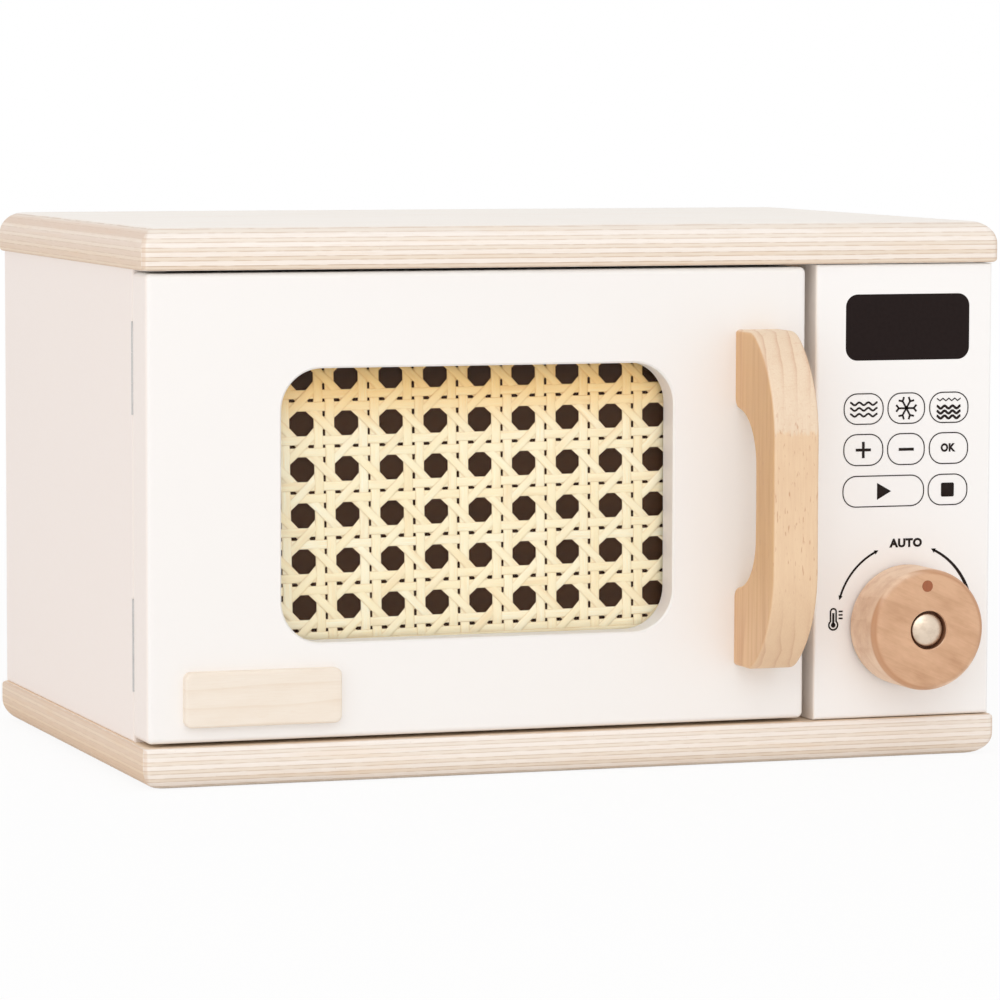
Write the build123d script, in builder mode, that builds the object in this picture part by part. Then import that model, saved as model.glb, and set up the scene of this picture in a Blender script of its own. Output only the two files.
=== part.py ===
from build123d import *
import math
import os

# Toy microwave: a painted box between two plywood boards, with a hinged door,
# a woven cane window, a bow handle, a control panel with a dial and a turntable.
# Frame: +X to the right, +Y to the back, +Z up, origin under the middle of the base board.

# Cabinet
body_width = 300.0
body_depth = 197.6
body_height = 156.0
side_thickness = 12.0
divider_thickness = 16.0
back_thickness = 4.0
rabbet_width = 6.0
panel_clearance = 0.2
side_edge_round = 0.8
side_foot_arris = 0.4

# Plywood boards above and below
slab_thickness = 14.0
slab_overhang = 1.8
slab_round = 7.5
slab_arris = 1.3
slab_corner_round = 2.5

# Door
door_thickness = 17.0
door_seam = 0.3
door_floor_gap = 1.2
door_top_gap = 1.0
door_corner_round = 2.0
door_front_round = 1.8
door_back_arris = 0.6

# Hinges in the seam at the left
hinge_length = 30.6
hinge_low_z = 32.2
hinge_top_drop = 32.4
hinge_inset = 0.4
hinge_edge_round = 0.8
hinge_barrel_radius = 0.8
hinge_bore_radius = 0.45
hinge_pin_radius = 0.4
hinge_relief = 0.2
knuckle_gap = 0.15
knuckle_count = 3
knuckle_sides = 12
leaf_thickness = 0.6
leaf_setback = 0.08
leaf_reach = 9.4
leaf_clearance = 0.1
leaf_hole_spacing = 20.0
leaf_hole_inset = 5.4
hinge_screw_radius = 0.9
hinge_screw_head = 1.5
hinge_screw_length = 9.0

# Window and what fills it
window_left = 45.8
window_right_margin = 47.9
window_bottom = 32.85
window_top_margin = 32.5
window_corner = 14.0
window_arris = 0.6
pane_setback = 9.7
pane_thickness = 2.0
pane_margin = 7.5
cane_thickness = 1.2
backing_thickness = 3.0
backing_margin = 16.0
backing_screw_radius = 1.25
backing_screw_head = 2.6
backing_screw_rise = 0.9
backing_screw_length = 8.0
backing_screw_inset = 4.5

# Cane weave: pitch and octagons, the sheet set a little askew
cane_pitch_x = 15.45
cane_pitch_z = 15.18
cane_first_x = 11.2
cane_first_z = 10.75
cane_tilt = 0.5
cane_hole = 8.0
octagon_sides = 8
octagon_turn = 22.5

# Handle
handle_inset = 17.35
handle_drop = 1.05
handle_width = 16.3
handle_length = 114.4
handle_projection = 35.0
handle_finger_depth = 18.2
handle_arch_length = 60.5
handle_arch_round = 18.0
handle_bow_round = 40.0
handle_end_flat = 9.5
handle_arris = 1.2
handle_foot_round = 2.5
handle_hole_spacing = 96.0
handle_screw_radius = 2.0
handle_screw_head = 4.0
handle_screw_head_height = 2.6
handle_screw_bite = 14.0
handle_counterbore = 3.2

# Plaque, bare
plaque_width = 54.1
plaque_height = 18.3
plaque_thickness = 3.5
plaque_corner = 2.0
plaque_arris = 0.8
plaque_left = 12.4
plaque_bottom = 6.5

# Control panel beside the door
fascia_width = 65.1
fascia_gap = 3.8
fascia_round = 1.2
fascia_reveal = 0.3
display_width = 45.8
display_height = 22.6
display_corner = 4.3
display_thickness = 1.5
display_inset_x = 8.5
display_top_drop = 10.5

# Dial
knob_radius = 20.5
knob_thickness = 20.0
knob_front_round = 3.0
rim_steps = 2
knob_inset_x = 31.73
knob_height_z = 32.2
knob_recess_radius = 6.6
knob_recess_depth = 4.4
knob_bore_clearance = 0.08
running_gap = 0.2
pointer_radius = 2.0
pointer_depth = 3.0
pointer_reach = 15.1
pointer_lean = 2.5
bolt_radius = 3.0
bolt_head_radius = 5.65
bolt_head_skirt = 2.6
bolt_head_dome = 1.5
dome_steps = 2
bolt_end = 3.0
washer_radius = 9.0
washer_thickness = 0.8
back_washer_radius = 7.0
back_washer_thickness = 1.2
nut_flat_radius = 5.0
nut_thickness = 6.0
nut_sides = 6
fit_clearance = 0.05

# Door catch
magnet_radius = 2.5
magnet_length = 6.0
catch_inset = 3.3
strike_screw_radius = 1.25
strike_screw_head = 2.5
strike_screw_length = 12.0

# Turntable
plate_clearance = 13.15
plate_thickness = 9.0
plate_rim = 6.0
plate_dish = 2.0
plate_arris = 1.5
glide_radius = 12.0
glide_thickness = 2.5
pivot_radius = 2.0
pivot_head_radius = 3.9
pivot_head_height = 2.2
pivot_recess_radius = 5.0
pivot_recess_depth = 3.0
pivot_bite = 10.0

# Dowels and screws that hold the cabinet together
dowel_radius = 3.0
dowel_length = 28.0
dowel_in_slab = 9.0
fascia_dowel_length = 20.0
fascia_dowel_in_panel = 9.0
fascia_dowel_shares = (0.2, 0.5, 0.8)
dowel_end_gap = 0.5
joint_front_inset = 28.0
joint_rear_inset = 24.0
fascia_joint_inset = 16.0
base_screw_radius = 2.0
base_screw_head = 4.0
base_screw_length = 36.0
base_screw_sink = 1.2
back_screw_radius = 1.5
back_screw_head = 2.8
back_screw_length = 14.0
back_screw_inset = 14.0
cut_overrun = 1.0
screw_sides = 8
screw_rim = 0.2

# Planes and lines that the pieces share
left_face = -body_width / 2
right_face = body_width / 2
front_face = -body_depth / 2
rear_face = body_depth / 2
slab_width = body_width + 2 * slab_overhang
slab_depth = body_depth + 2 * slab_overhang
deck = slab_thickness
ceiling = deck + body_height
frame_front = front_face + door_thickness + door_seam
back_front = rear_face - back_thickness
hinge_x = left_face + hinge_inset
hinge_y = front_face + door_thickness + door_seam / 2
hinge_mids = [deck + hinge_low_z, ceiling - hinge_top_drop]
cavity_left = left_face + side_thickness
fascia_left = right_face - fascia_width
door_right = fascia_left - fascia_gap
door_width = door_right - left_face
divider_left = door_right - 2 * catch_inset
divider_mid = divider_left + divider_thickness / 2
side_length = rear_face - frame_front
door_back = front_face + door_thickness
door_bottom = deck + door_floor_gap
door_height = body_height - door_floor_gap - door_top_gap
window_width = door_width - window_left - window_right_margin
window_height = body_height - window_bottom - window_top_margin
window_x = left_face + window_left + window_width / 2
window_z = deck + window_bottom + window_height / 2
pane_front = front_face + pane_setback
cane_front = pane_front + pane_thickness
backing_front = cane_front + cane_thickness
knob_x = right_face - knob_inset_x
knob_z = deck + knob_height_z
catch_x = door_right - catch_inset
catch_z = deck + body_height / 2
turntable_x = (cavity_left + divider_left) / 2
turntable_y = (frame_front + back_front) / 2
cavity_least = min(divider_left - cavity_left, back_front - frame_front)
plate_radius = cavity_least / 2 - plate_clearance
handle_x = door_right - handle_inset
handle_z = deck + body_height / 2 - handle_drop

# Axis directions
back_way = (0, 1, 0)
front_way = (0, -1, 0)
right_way = (1, 0, 0)
up_way = (0, 0, 1)
down_way = (0, 0, -1)


# A countersunk wood screw, head flush with the plane, shank along -Z
def countersunk_screw(shank, head, length, gap=0.0, mouth=0.0):
    with BuildPart() as piece:
        with BuildSketch():
            RegularPolygon(head + gap, screw_sides)
        extrude(amount=shank - head - screw_rim)
        chamfer(piece.faces().sort_by(Axis.Z)[0].edges(), head - shank)
        with BuildSketch():
            RegularPolygon(shank + gap, screw_sides)
        extrude(amount=-length - gap)
        if mouth:
            with BuildSketch():
                RegularPolygon(head + gap, screw_sides)
            extrude(amount=mouth)
    return piece.part


# A cheese-head screw, the head's seat on the plane, shank along -Z
def seated_screw(shank, head, rise, length, gap=0.0):
    with BuildPart() as piece:
        with BuildSketch():
            RegularPolygon(shank + gap, screw_sides)
        extrude(amount=-length - gap)
        with BuildSketch():
            RegularPolygon(head, screw_sides)
        extrude(amount=rise)
    return piece.part


# A wooden dowel along Z, flat-sided like a fluted one, or the hole that takes it
def dowel(length, gap=0.0, end_gap=0.0):
    with BuildPart() as piece:
        with BuildSketch():
            RegularPolygon(dowel_radius + gap, screw_sides)
        extrude(amount=length / 2 + end_gap, both=True)
    return piece.part


def save(piece, name):
    piece.part.label = name
    export_step(piece.part, "parts/" + name + ".step")


os.makedirs("parts", exist_ok=True)

# Where dowels above and screws below join the boards to the uprights
side_x = left_face + side_thickness / 2
front_joint_y = frame_front + joint_front_inset
rear_joint_y = back_front - joint_rear_inset
fascia_joint_y = front_face + door_thickness / 2
joint_places = [(x, y) for x in (side_x, divider_mid, -side_x) for y in (front_joint_y, rear_joint_y)]
joint_places += [(fascia_left + fascia_joint_inset, fascia_joint_y),
                 (right_face - fascia_joint_inset, fascia_joint_y)]
joint_dowel = dowel(dowel_length)
joint_dowel_hole = dowel(dowel_length, fit_clearance, dowel_end_gap)
dowel_mid_z = ceiling + dowel_in_slab - dowel_length / 2
top_joints = [Location((x, y, dowel_mid_z)) for x, y in joint_places]
base_joints = [Plane(origin=(x, y, base_screw_sink), x_dir=right_way, z_dir=down_way)
               for x, y in joint_places]
base_screw = countersunk_screw(base_screw_radius, base_screw_head, base_screw_length)
base_screw_hole = countersunk_screw(base_screw_radius, base_screw_head, base_screw_length, fit_clearance,
                                    base_screw_sink + cut_overrun)

# Dowels between the control panel and the right side
fascia_dowel_mid_y = frame_front - fascia_dowel_in_panel + fascia_dowel_length / 2
fascia_dowel_places = [
    Plane(origin=(-side_x, fascia_dowel_mid_y, deck + body_height * share), x_dir=right_way, z_dir=back_way)
    for share in fascia_dowel_shares]
fascia_dowel = dowel(fascia_dowel_length)
fascia_dowel_hole = dowel(fascia_dowel_length, fit_clearance, dowel_end_gap)

# Screws through the back panel, into the rabbets and the divider
rabbet_mid = left_face + side_thickness - rabbet_width / 2
back_screw_places = [
    Plane(origin=(x, rear_face, z), x_dir=right_way, z_dir=back_way)
    for x in (rabbet_mid, divider_mid, -rabbet_mid)
    for z in (deck + back_screw_inset, ceiling - back_screw_inset)]
back_screw = countersunk_screw(back_screw_radius, back_screw_head, back_screw_length)
back_screw_hole = countersunk_screw(back_screw_radius, back_screw_head, back_screw_length, fit_clearance)

# Turntable pivot
plate_bottom = deck + glide_thickness + running_gap
plate_floor = plate_bottom + plate_thickness - plate_dish
pivot_seat_z = plate_floor - pivot_recess_depth + running_gap
pivot_length = pivot_seat_z - deck + pivot_bite
pivot_place = Location((turntable_x, turntable_y, pivot_seat_z))
pivot_screw = seated_screw(pivot_radius, pivot_head_radius, pivot_head_height, pivot_length)
pivot_hole = seated_screw(pivot_radius, pivot_head_radius, pivot_head_height, pivot_length, fit_clearance)

# Base board: large round below, small one above
with BuildPart() as base_board:
    with BuildSketch():
        Rectangle(slab_width, slab_depth)
    extrude(amount=slab_thickness)
    chamfer(base_board.faces().sort_by(Axis.Z)[-1].edges(), slab_arris)
    fillet(base_board.faces().sort_by(Axis.Z)[0].edges(), slab_round)
    with BuildSketch():
        RectangleRounded(slab_width, slab_depth, slab_corner_round)
    extrude(amount=slab_thickness, mode=Mode.INTERSECT)
    with Locations(*base_joints):
        add(base_screw_hole, mode=Mode.SUBTRACT)
    with Locations(pivot_place):
        add(pivot_hole, mode=Mode.SUBTRACT)
save(base_board, "base_board")

# Top board: the base board's profile turned over
with BuildPart() as top_board:
    with BuildSketch(Plane.XY.offset(ceiling)):
        Rectangle(slab_width, slab_depth)
    extrude(amount=slab_thickness)
    chamfer(top_board.faces().sort_by(Axis.Z)[0].edges(), slab_arris)
    fillet(top_board.faces().sort_by(Axis.Z)[-1].edges(), slab_round)
    with BuildSketch(Plane.XY.offset(ceiling)):
        RectangleRounded(slab_width, slab_depth, slab_corner_round)
    extrude(amount=slab_thickness, mode=Mode.INTERSECT)
    with Locations(*top_joints):
        add(joint_dowel_hole, mode=Mode.SUBTRACT)
save(top_board, "top_board")

# Hinge screws: two to a leaf, heads towards the seam
hinge_screw = countersunk_screw(hinge_screw_radius, hinge_screw_head, hinge_screw_length)
hinge_screw_hole = countersunk_screw(hinge_screw_radius, hinge_screw_head, hinge_screw_length, fit_clearance)
leaf_hole_x = hinge_x + leaf_hole_inset
hinge_screw_heights = [z + d for z in hinge_mids for d in (-leaf_hole_spacing / 2, leaf_hole_spacing / 2)]
side_screw_places = [Plane(origin=(leaf_hole_x, hinge_y + leaf_setback, z), x_dir=right_way, z_dir=front_way)
                     for z in hinge_screw_heights]
door_screw_places = [Plane(origin=(leaf_hole_x, hinge_y - leaf_setback, z), x_dir=right_way, z_dir=back_way)
                     for z in hinge_screw_heights]
leaf_depth = leaf_setback + leaf_thickness

# Left side: rabbet for the back, mortises and a relief for the hinges
with BuildPart() as left_side:
    with BuildSketch(Plane.XY.offset(deck)):
        with Locations((side_x, frame_front + side_length / 2)):
            Rectangle(side_thickness, side_length)
    extrude(amount=body_height)
    chamfer(left_side.faces().sort_by(Axis.Z)[0].edges().sort_by(Axis.X)[0], side_foot_arris)
    outer_edges = left_side.edges().filter_by(Axis.Z).group_by(Axis.X)[0]
    fillet(outer_edges.sort_by(Axis.Y)[0], hinge_edge_round)
    outer_edges = left_side.edges().filter_by(Axis.Z).group_by(Axis.X)[0]
    fillet(outer_edges.sort_by(Axis.Y)[-1], side_edge_round)
    with BuildSketch(Plane.XY.offset(deck)):
        with Locations((cavity_left - rabbet_width / 2, rear_face - back_thickness / 2)):
            Rectangle(rabbet_width, back_thickness)
    extrude(amount=body_height, mode=Mode.SUBTRACT)
    for hinge_mid in hinge_mids:
        with BuildSketch(Plane.XY.offset(hinge_mid)):
            with Locations((hinge_x + leaf_reach / 2, hinge_y + leaf_depth / 2)):
                Rectangle(leaf_reach + 2 * leaf_clearance, leaf_depth)
            with Locations((hinge_x, hinge_y)):
                Circle(hinge_barrel_radius + hinge_relief)
        extrude(amount=hinge_length / 2 + leaf_clearance, both=True, mode=Mode.SUBTRACT)
    with Locations(*top_joints):
        add(joint_dowel_hole, mode=Mode.SUBTRACT)
    with Locations(*base_joints):
        add(base_screw_hole, mode=Mode.SUBTRACT)
    with Locations(*back_screw_places):
        add(back_screw_hole, mode=Mode.SUBTRACT)
    with Locations(*side_screw_places):
        add(hinge_screw_hole, mode=Mode.SUBTRACT)
save(left_side, "left_side")

# Right side: rabbet for the back, dowels in the front edge
with BuildPart() as right_side:
    with BuildSketch(Plane.XY.offset(deck)):
        with Locations((-side_x, frame_front + side_length / 2)):
            Rectangle(side_thickness, side_length)
    extrude(amount=body_height)
    chamfer(right_side.faces().sort_by(Axis.Z)[0].edges().sort_by(Axis.X)[-1], side_foot_arris)
    outer_edges = right_side.edges().filter_by(Axis.Z).group_by(Axis.X)[-1]
    fillet(outer_edges.sort_by(Axis.Y)[-1], side_edge_round)
    with BuildSketch(Plane.XY.offset(deck)):
        with Locations((rabbet_width / 2 - cavity_left, rear_face - back_thickness / 2)):
            Rectangle(rabbet_width, back_thickness)
    extrude(amount=body_height, mode=Mode.SUBTRACT)
    with Locations(*top_joints):
        add(joint_dowel_hole, mode=Mode.SUBTRACT)
    with Locations(*base_joints):
        add(base_screw_hole, mode=Mode.SUBTRACT)
    with Locations(*back_screw_places):
        add(back_screw_hole, mode=Mode.SUBTRACT)
    with Locations(*fascia_dowel_places):
        add(fascia_dowel_hole, mode=Mode.SUBTRACT)
save(right_side, "right_side")

# Divider: the cavity's right wall, with the catch magnet in its front edge
divider_length = back_front - frame_front
with BuildPart() as divider:
    with BuildSketch(Plane.XY.offset(deck)):
        with Locations((divider_mid, frame_front + divider_length / 2)):
            Rectangle(divider_thickness, divider_length)
    extrude(amount=body_height)
    with BuildSketch(Plane.XZ.offset(-frame_front)):
        with Locations((catch_x, catch_z)):
            Circle(magnet_radius + fit_clearance)
    extrude(amount=-magnet_length, mode=Mode.SUBTRACT)
    with Locations(*top_joints):
        add(joint_dowel_hole, mode=Mode.SUBTRACT)
    with Locations(*base_joints):
        add(base_screw_hole, mode=Mode.SUBTRACT)
    with Locations(*back_screw_places):
        add(back_screw_hole, mode=Mode.SUBTRACT)
save(divider, "divider")

with BuildPart() as door_magnet:
    with BuildSketch(Plane.XZ.offset(-frame_front)):
        with Locations((catch_x, catch_z)):
            Circle(magnet_radius)
    extrude(amount=-magnet_length)
save(door_magnet, "door_magnet")

# Back panel, set into the rabbets and screwed
back_width = body_width - 2 * (side_thickness - rabbet_width) - 2 * panel_clearance
with BuildPart() as back_panel:
    with BuildSketch(Plane.XZ.offset(-back_front)):
        with Locations((0, deck + body_height / 2)):
            Rectangle(back_width, body_height)
    extrude(amount=-back_thickness)
    with Locations(*back_screw_places):
        add(back_screw_hole, mode=Mode.SUBTRACT)
save(back_panel, "back_panel")

with BuildPart() as back_screws:
    with Locations(*back_screw_places):
        add(back_screw)
save(back_screws, "back_screws")

with BuildPart() as base_screws:
    with Locations(*base_joints):
        add(base_screw)
save(base_screws, "base_screws")

with BuildPart() as top_dowels:
    with Locations(*top_joints):
        add(joint_dowel)
save(top_dowels, "top_dowels")

with BuildPart() as fascia_dowels:
    with Locations(*fascia_dowel_places):
        add(fascia_dowel)
save(fascia_dowels, "fascia_dowels")

# Control panel, with the display let in flush and the hole for the dial's bolt
display_x = right_face - display_inset_x - display_width / 2
display_z = ceiling - display_top_drop - display_height / 2
with BuildPart() as control_fascia:
    with BuildSketch(Plane.XY.offset(deck + fascia_reveal)):
        with Locations((fascia_left + fascia_width / 2, (front_face + frame_front) / 2)):
            Rectangle(fascia_width, frame_front - front_face)
    extrude(amount=body_height - 2 * fascia_reveal)
    fillet(control_fascia.faces().sort_by(Axis.Y)[0].edges(), fascia_round)
    with BuildSketch(Plane.XZ.offset(-front_face)):
        with Locations((display_x, display_z)):
            RectangleRounded(display_width, display_height, display_corner)
    extrude(amount=-display_thickness, mode=Mode.SUBTRACT)
    with BuildSketch(Plane.XZ.offset(-front_face)):
        with Locations((knob_x, knob_z)):
            Circle(bolt_radius + fit_clearance)
    extrude(amount=front_face - frame_front, mode=Mode.SUBTRACT)
    with Locations(*top_joints):
        add(joint_dowel_hole, mode=Mode.SUBTRACT)
    with Locations(*base_joints):
        add(base_screw_hole, mode=Mode.SUBTRACT)
    with Locations(*fascia_dowel_places):
        add(fascia_dowel_hole, mode=Mode.SUBTRACT)
save(control_fascia, "control_fascia")

with BuildPart() as display_panel:
    with BuildSketch(Plane.XZ.offset(-front_face)):
        with Locations((display_x, display_z)):
            RectangleRounded(display_width - 2 * fit_clearance, display_height - 2 * fit_clearance,
                             display_corner - fit_clearance)
    extrude(amount=-display_thickness)
save(display_panel, "display_panel")

# Screws round the window's backing board
backing_width = window_width + 2 * backing_margin - 2 * panel_clearance
backing_height = window_height + 2 * backing_margin - 2 * panel_clearance
backing_back = backing_front + backing_thickness
backing_grid_x = backing_width - 2 * backing_screw_inset
backing_grid_z = backing_height - 2 * backing_screw_inset
backing_screw_spots = [(x, z) for x in (-backing_grid_x / 2, 0, backing_grid_x / 2)
                       for z in (-backing_grid_z / 2, backing_grid_z / 2)]
backing_screw_places = [
    Plane(origin=(window_x + x, backing_back, window_z + z), x_dir=right_way, z_dir=back_way)
    for x, z in backing_screw_spots]
backing_screw = seated_screw(backing_screw_radius, backing_screw_head, backing_screw_rise,
                             backing_screw_length)
backing_screw_hole = seated_screw(backing_screw_radius, backing_screw_head, backing_screw_rise,
                                  backing_screw_length, fit_clearance)

# Handle screws: through the door from a counterbore at the back
handle_screw_seat = door_back - handle_counterbore
handle_screw_length = handle_screw_seat - front_face + handle_screw_bite
handle_screw_places = [
    Plane(origin=(handle_x, handle_screw_seat, handle_z + z), x_dir=right_way, z_dir=back_way)
    for z in (-handle_hole_spacing / 2, handle_hole_spacing / 2)]
handle_screw = seated_screw(handle_screw_radius, handle_screw_head, handle_screw_head_height,
                            handle_screw_length)
handle_screw_hole = seated_screw(handle_screw_radius, handle_screw_head, handle_screw_head_height,
                                 handle_screw_length, fit_clearance)

# The catch's steel screw, its head flush in the door's back
strike_place = Plane(origin=(catch_x, door_back, catch_z), x_dir=right_way, z_dir=back_way)
strike_piece = countersunk_screw(strike_screw_radius, strike_screw_head, strike_screw_length)
strike_hole = countersunk_screw(strike_screw_radius, strike_screw_head, strike_screw_length, fit_clearance)

# Door: rounded front edges, the window cut-out with its edge, and two rabbets at the back
with BuildPart() as door_panel:
    with BuildSketch(Plane.XY.offset(door_bottom)):
        with Locations((left_face + door_width / 2, front_face + door_thickness / 2)):
            Rectangle(door_width, door_thickness)
    extrude(amount=door_height)
    fillet(door_panel.edges().filter_by(Axis.Y), door_corner_round)
    fillet(door_panel.faces().sort_by(Axis.Y)[0].edges(), door_front_round)
    chamfer(door_panel.faces().sort_by(Axis.Y)[-1].edges(), door_back_arris)
    with BuildSketch(Plane.XZ.offset(-front_face)):
        with Locations((window_x, window_z)):
            RectangleRounded(window_width, window_height, window_corner)
    extrude(amount=-door_thickness, mode=Mode.SUBTRACT)
    front_edges = door_panel.faces().sort_by(Axis.Y)[0].inner_wires()[0].edges()
    chamfer(front_edges, window_arris)
    with BuildSketch(Plane.XZ.offset(-pane_front)):
        with Locations((window_x, window_z)):
            Rectangle(window_width + 2 * pane_margin, window_height + 2 * pane_margin)
    extrude(amount=pane_front - door_back, mode=Mode.SUBTRACT)
    with BuildSketch(Plane.XZ.offset(-backing_front)):
        with Locations((window_x, window_z)):
            Rectangle(window_width + 2 * backing_margin, window_height + 2 * backing_margin)
    extrude(amount=backing_front - door_back, mode=Mode.SUBTRACT)
    for hinge_mid in hinge_mids:
        with BuildSketch(Plane.XY.offset(hinge_mid)):
            with Locations((hinge_x + leaf_reach / 2, hinge_y - leaf_depth / 2)):
                Rectangle(leaf_reach + 2 * leaf_clearance, leaf_depth)
            with Locations((hinge_x, hinge_y)):
                Circle(hinge_barrel_radius + hinge_relief)
        extrude(amount=hinge_length / 2 + leaf_clearance, both=True, mode=Mode.SUBTRACT)
    for screw_place in handle_screw_places:
        with BuildSketch(screw_place):
            Circle(handle_screw_head + fit_clearance)
        extrude(amount=handle_counterbore, mode=Mode.SUBTRACT)
    with Locations(*handle_screw_places):
        add(handle_screw_hole, mode=Mode.SUBTRACT)
    with Locations(*backing_screw_places):
        add(backing_screw_hole, mode=Mode.SUBTRACT)
    with Locations(*door_screw_places):
        add(hinge_screw_hole, mode=Mode.SUBTRACT)
    with Locations(strike_place):
        add(strike_hole, mode=Mode.SUBTRACT)
save(door_panel, "door_panel")

pane_width = window_width + 2 * pane_margin - 2 * panel_clearance
pane_height = window_height + 2 * pane_margin - 2 * panel_clearance
with BuildPart() as window_pane:
    with BuildSketch(Plane.XZ.offset(-pane_front)):
        with Locations((window_x, window_z)):
            Rectangle(pane_width, pane_height)
    extrude(amount=-pane_thickness)
save(window_pane, "window_pane")

# Cane panel, with the octagons of the open weave, turned about the first one
cane_columns = int((window_width - cane_first_x) / cane_pitch_x) + 1
cane_rows = int((window_height - cane_first_z) / cane_pitch_z) + 1
cane_left = left_face + window_left + cane_first_x
cane_bottom = deck + window_bottom + cane_first_z
octagon_places = [(column * cane_pitch_x, row * cane_pitch_z)
                  for column in range(cane_columns) for row in range(cane_rows)]
with BuildPart() as cane_panel:
    with BuildSketch(Plane.XZ.offset(-cane_front)):
        with Locations((window_x, window_z)):
            Rectangle(pane_width, pane_height)
        with Locations(Location((cane_left, cane_bottom), cane_tilt)):
            with Locations(*octagon_places):
                RegularPolygon(cane_hole / 2, octagon_sides, major_radius=False, rotation=octagon_turn,
                               mode=Mode.SUBTRACT)
    extrude(amount=-cane_thickness)
save(cane_panel, "cane_panel")

with BuildPart() as window_backing:
    with BuildSketch(Plane.XZ.offset(-backing_front)):
        with Locations((window_x, window_z)):
            Rectangle(backing_width, backing_height)
    extrude(amount=-backing_thickness)
    with Locations(*backing_screw_places):
        add(backing_screw_hole, mode=Mode.SUBTRACT)
save(window_backing, "window_backing")

with BuildPart() as backing_screws:
    with Locations(*backing_screw_places):
        add(backing_screw)
save(backing_screws, "backing_screws")

# Handle: a bow cut from a thick board, arched inside and rounded outside
handle_top = handle_length / 2
arch_top = handle_arch_length / 2
arch_spring = arch_top - handle_arch_round
bow_centre = handle_bow_round - handle_projection
bow_top_rise = (handle_bow_round ** 2 - (bow_centre + handle_end_flat) ** 2) ** 0.5
bow_spring = handle_top - bow_top_rise
with BuildPart() as handle:
    with BuildSketch(Plane(origin=(handle_x, front_face, handle_z), x_dir=back_way, z_dir=right_way)):
        with BuildLine():
            front_edge = Line((-handle_projection, -bow_spring), (-handle_projection, bow_spring))
            upper_bow = TangentArc(front_edge @ 1, (-handle_end_flat, handle_top), tangent=front_edge % 1)
            lower_bow = TangentArc(front_edge @ 0, (-handle_end_flat, -handle_top), tangent=-(front_edge % 0))
            Polyline(upper_bow @ 1, (0, handle_top), (0, arch_top))
            Polyline(lower_bow @ 1, (0, -handle_top), (0, -arch_top))
            arch_edge = Line((-handle_finger_depth, -arch_spring), (-handle_finger_depth, arch_spring))
            TangentArc(arch_edge @ 1, (0, arch_top), tangent=arch_edge % 1)
            TangentArc(arch_edge @ 0, (0, -arch_top), tangent=-(arch_edge % 0))
        make_face()
    extrude(amount=handle_width / 2, both=True)
    foot_edges = handle.edges().filter_by(Axis.X).group_by(Axis.Y)[-1].sort_by(Axis.Z)[1:3]
    fillet(foot_edges, handle_foot_round)
    side_faces = handle.faces().filter_by(Axis.X)
    seat_edges = handle.faces().filter_by(Axis.Y).group_by(Axis.Y)[-1].edges()
    outline_edges = [edge for edge in side_faces.edges() if edge not in seat_edges]
    chamfer(outline_edges, handle_arris)
    with Locations(*handle_screw_places):
        add(handle_screw_hole, mode=Mode.SUBTRACT)
save(handle, "handle")

with BuildPart() as handle_screws:
    with Locations(*handle_screw_places):
        add(handle_screw)
save(handle_screws, "handle_screws")

# Plaque at the lower left, left bare
plaque_x = left_face + plaque_left + plaque_width / 2
plaque_z = deck + plaque_bottom + plaque_height / 2
with BuildPart() as door_plaque:
    with BuildSketch(Plane.XZ.offset(-front_face)):
        with Locations((plaque_x, plaque_z)):
            RectangleRounded(plaque_width, plaque_height, plaque_corner)
    extrude(amount=plaque_thickness)
    chamfer(door_plaque.faces().sort_by(Axis.Y)[0].edges(), plaque_arris)
save(door_plaque, "door_plaque")

with BuildPart() as strike_screw:
    with Locations(strike_place):
        add(strike_piece)
save(strike_screw, "strike_screw")

# Hinges: a leaf is a flat plate with its knuckles rolled about the pin
knuckle_length = hinge_length / knuckle_count
knuckle_cut = knuckle_gap / 2
middle_knuckle = [(-knuckle_length / 2 + knuckle_cut, knuckle_length / 2 - knuckle_cut)]
end_knuckles = [(-hinge_length / 2, -knuckle_length / 2 - knuckle_cut),
                (knuckle_length / 2 + knuckle_cut, hinge_length / 2)]
leaf_start = hinge_barrel_radius + hinge_relief
leaf_kinds = {
    "door_leaf": (-1, middle_knuckle, door_screw_places),
    "side_leaf": (1, end_knuckles, side_screw_places),
}
for hinge_name, hinge_mid in (("lower_hinge_", hinge_mids[0]), ("upper_hinge_", hinge_mids[1])):
    for leaf_name, (side, knuckles, screw_places) in leaf_kinds.items():
        leaf_mid = hinge_y + side * (leaf_setback + leaf_thickness / 2)
        with BuildPart() as leaf:
            with BuildSketch(Plane.XY.offset(hinge_mid - hinge_length / 2)):
                with Locations((hinge_x + (leaf_start + leaf_reach) / 2, leaf_mid)):
                    Rectangle(leaf_reach - leaf_start, leaf_thickness)
            extrude(amount=hinge_length)
            for low, high in knuckles:
                with BuildSketch(Plane.XY.offset(hinge_mid + low)):
                    with Locations((hinge_x, hinge_y)):
                        RegularPolygon(hinge_barrel_radius, knuckle_sides)
                    with Locations((hinge_x + leaf_start / 2, leaf_mid)):
                        Rectangle(leaf_start, leaf_thickness)
                extrude(amount=high - low)
            with BuildSketch(Plane.XY.offset(hinge_mid - hinge_length / 2)):
                with Locations((hinge_x, hinge_y)):
                    RegularPolygon(hinge_bore_radius, knuckle_sides, major_radius=False)
            extrude(amount=hinge_length, mode=Mode.SUBTRACT)
            with Locations(*screw_places):
                add(hinge_screw_hole, mode=Mode.SUBTRACT)
        save(leaf, hinge_name + leaf_name)

# Hinge pins, as long as the barrels
with BuildPart() as hinge_pins:
    for hinge_mid in hinge_mids:
        with BuildSketch(Plane.XY.offset(hinge_mid)):
            with Locations((hinge_x, hinge_y)):
                Circle(hinge_pin_radius)
        extrude(amount=hinge_length / 2, both=True)
save(hinge_pins, "hinge_pins")

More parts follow.
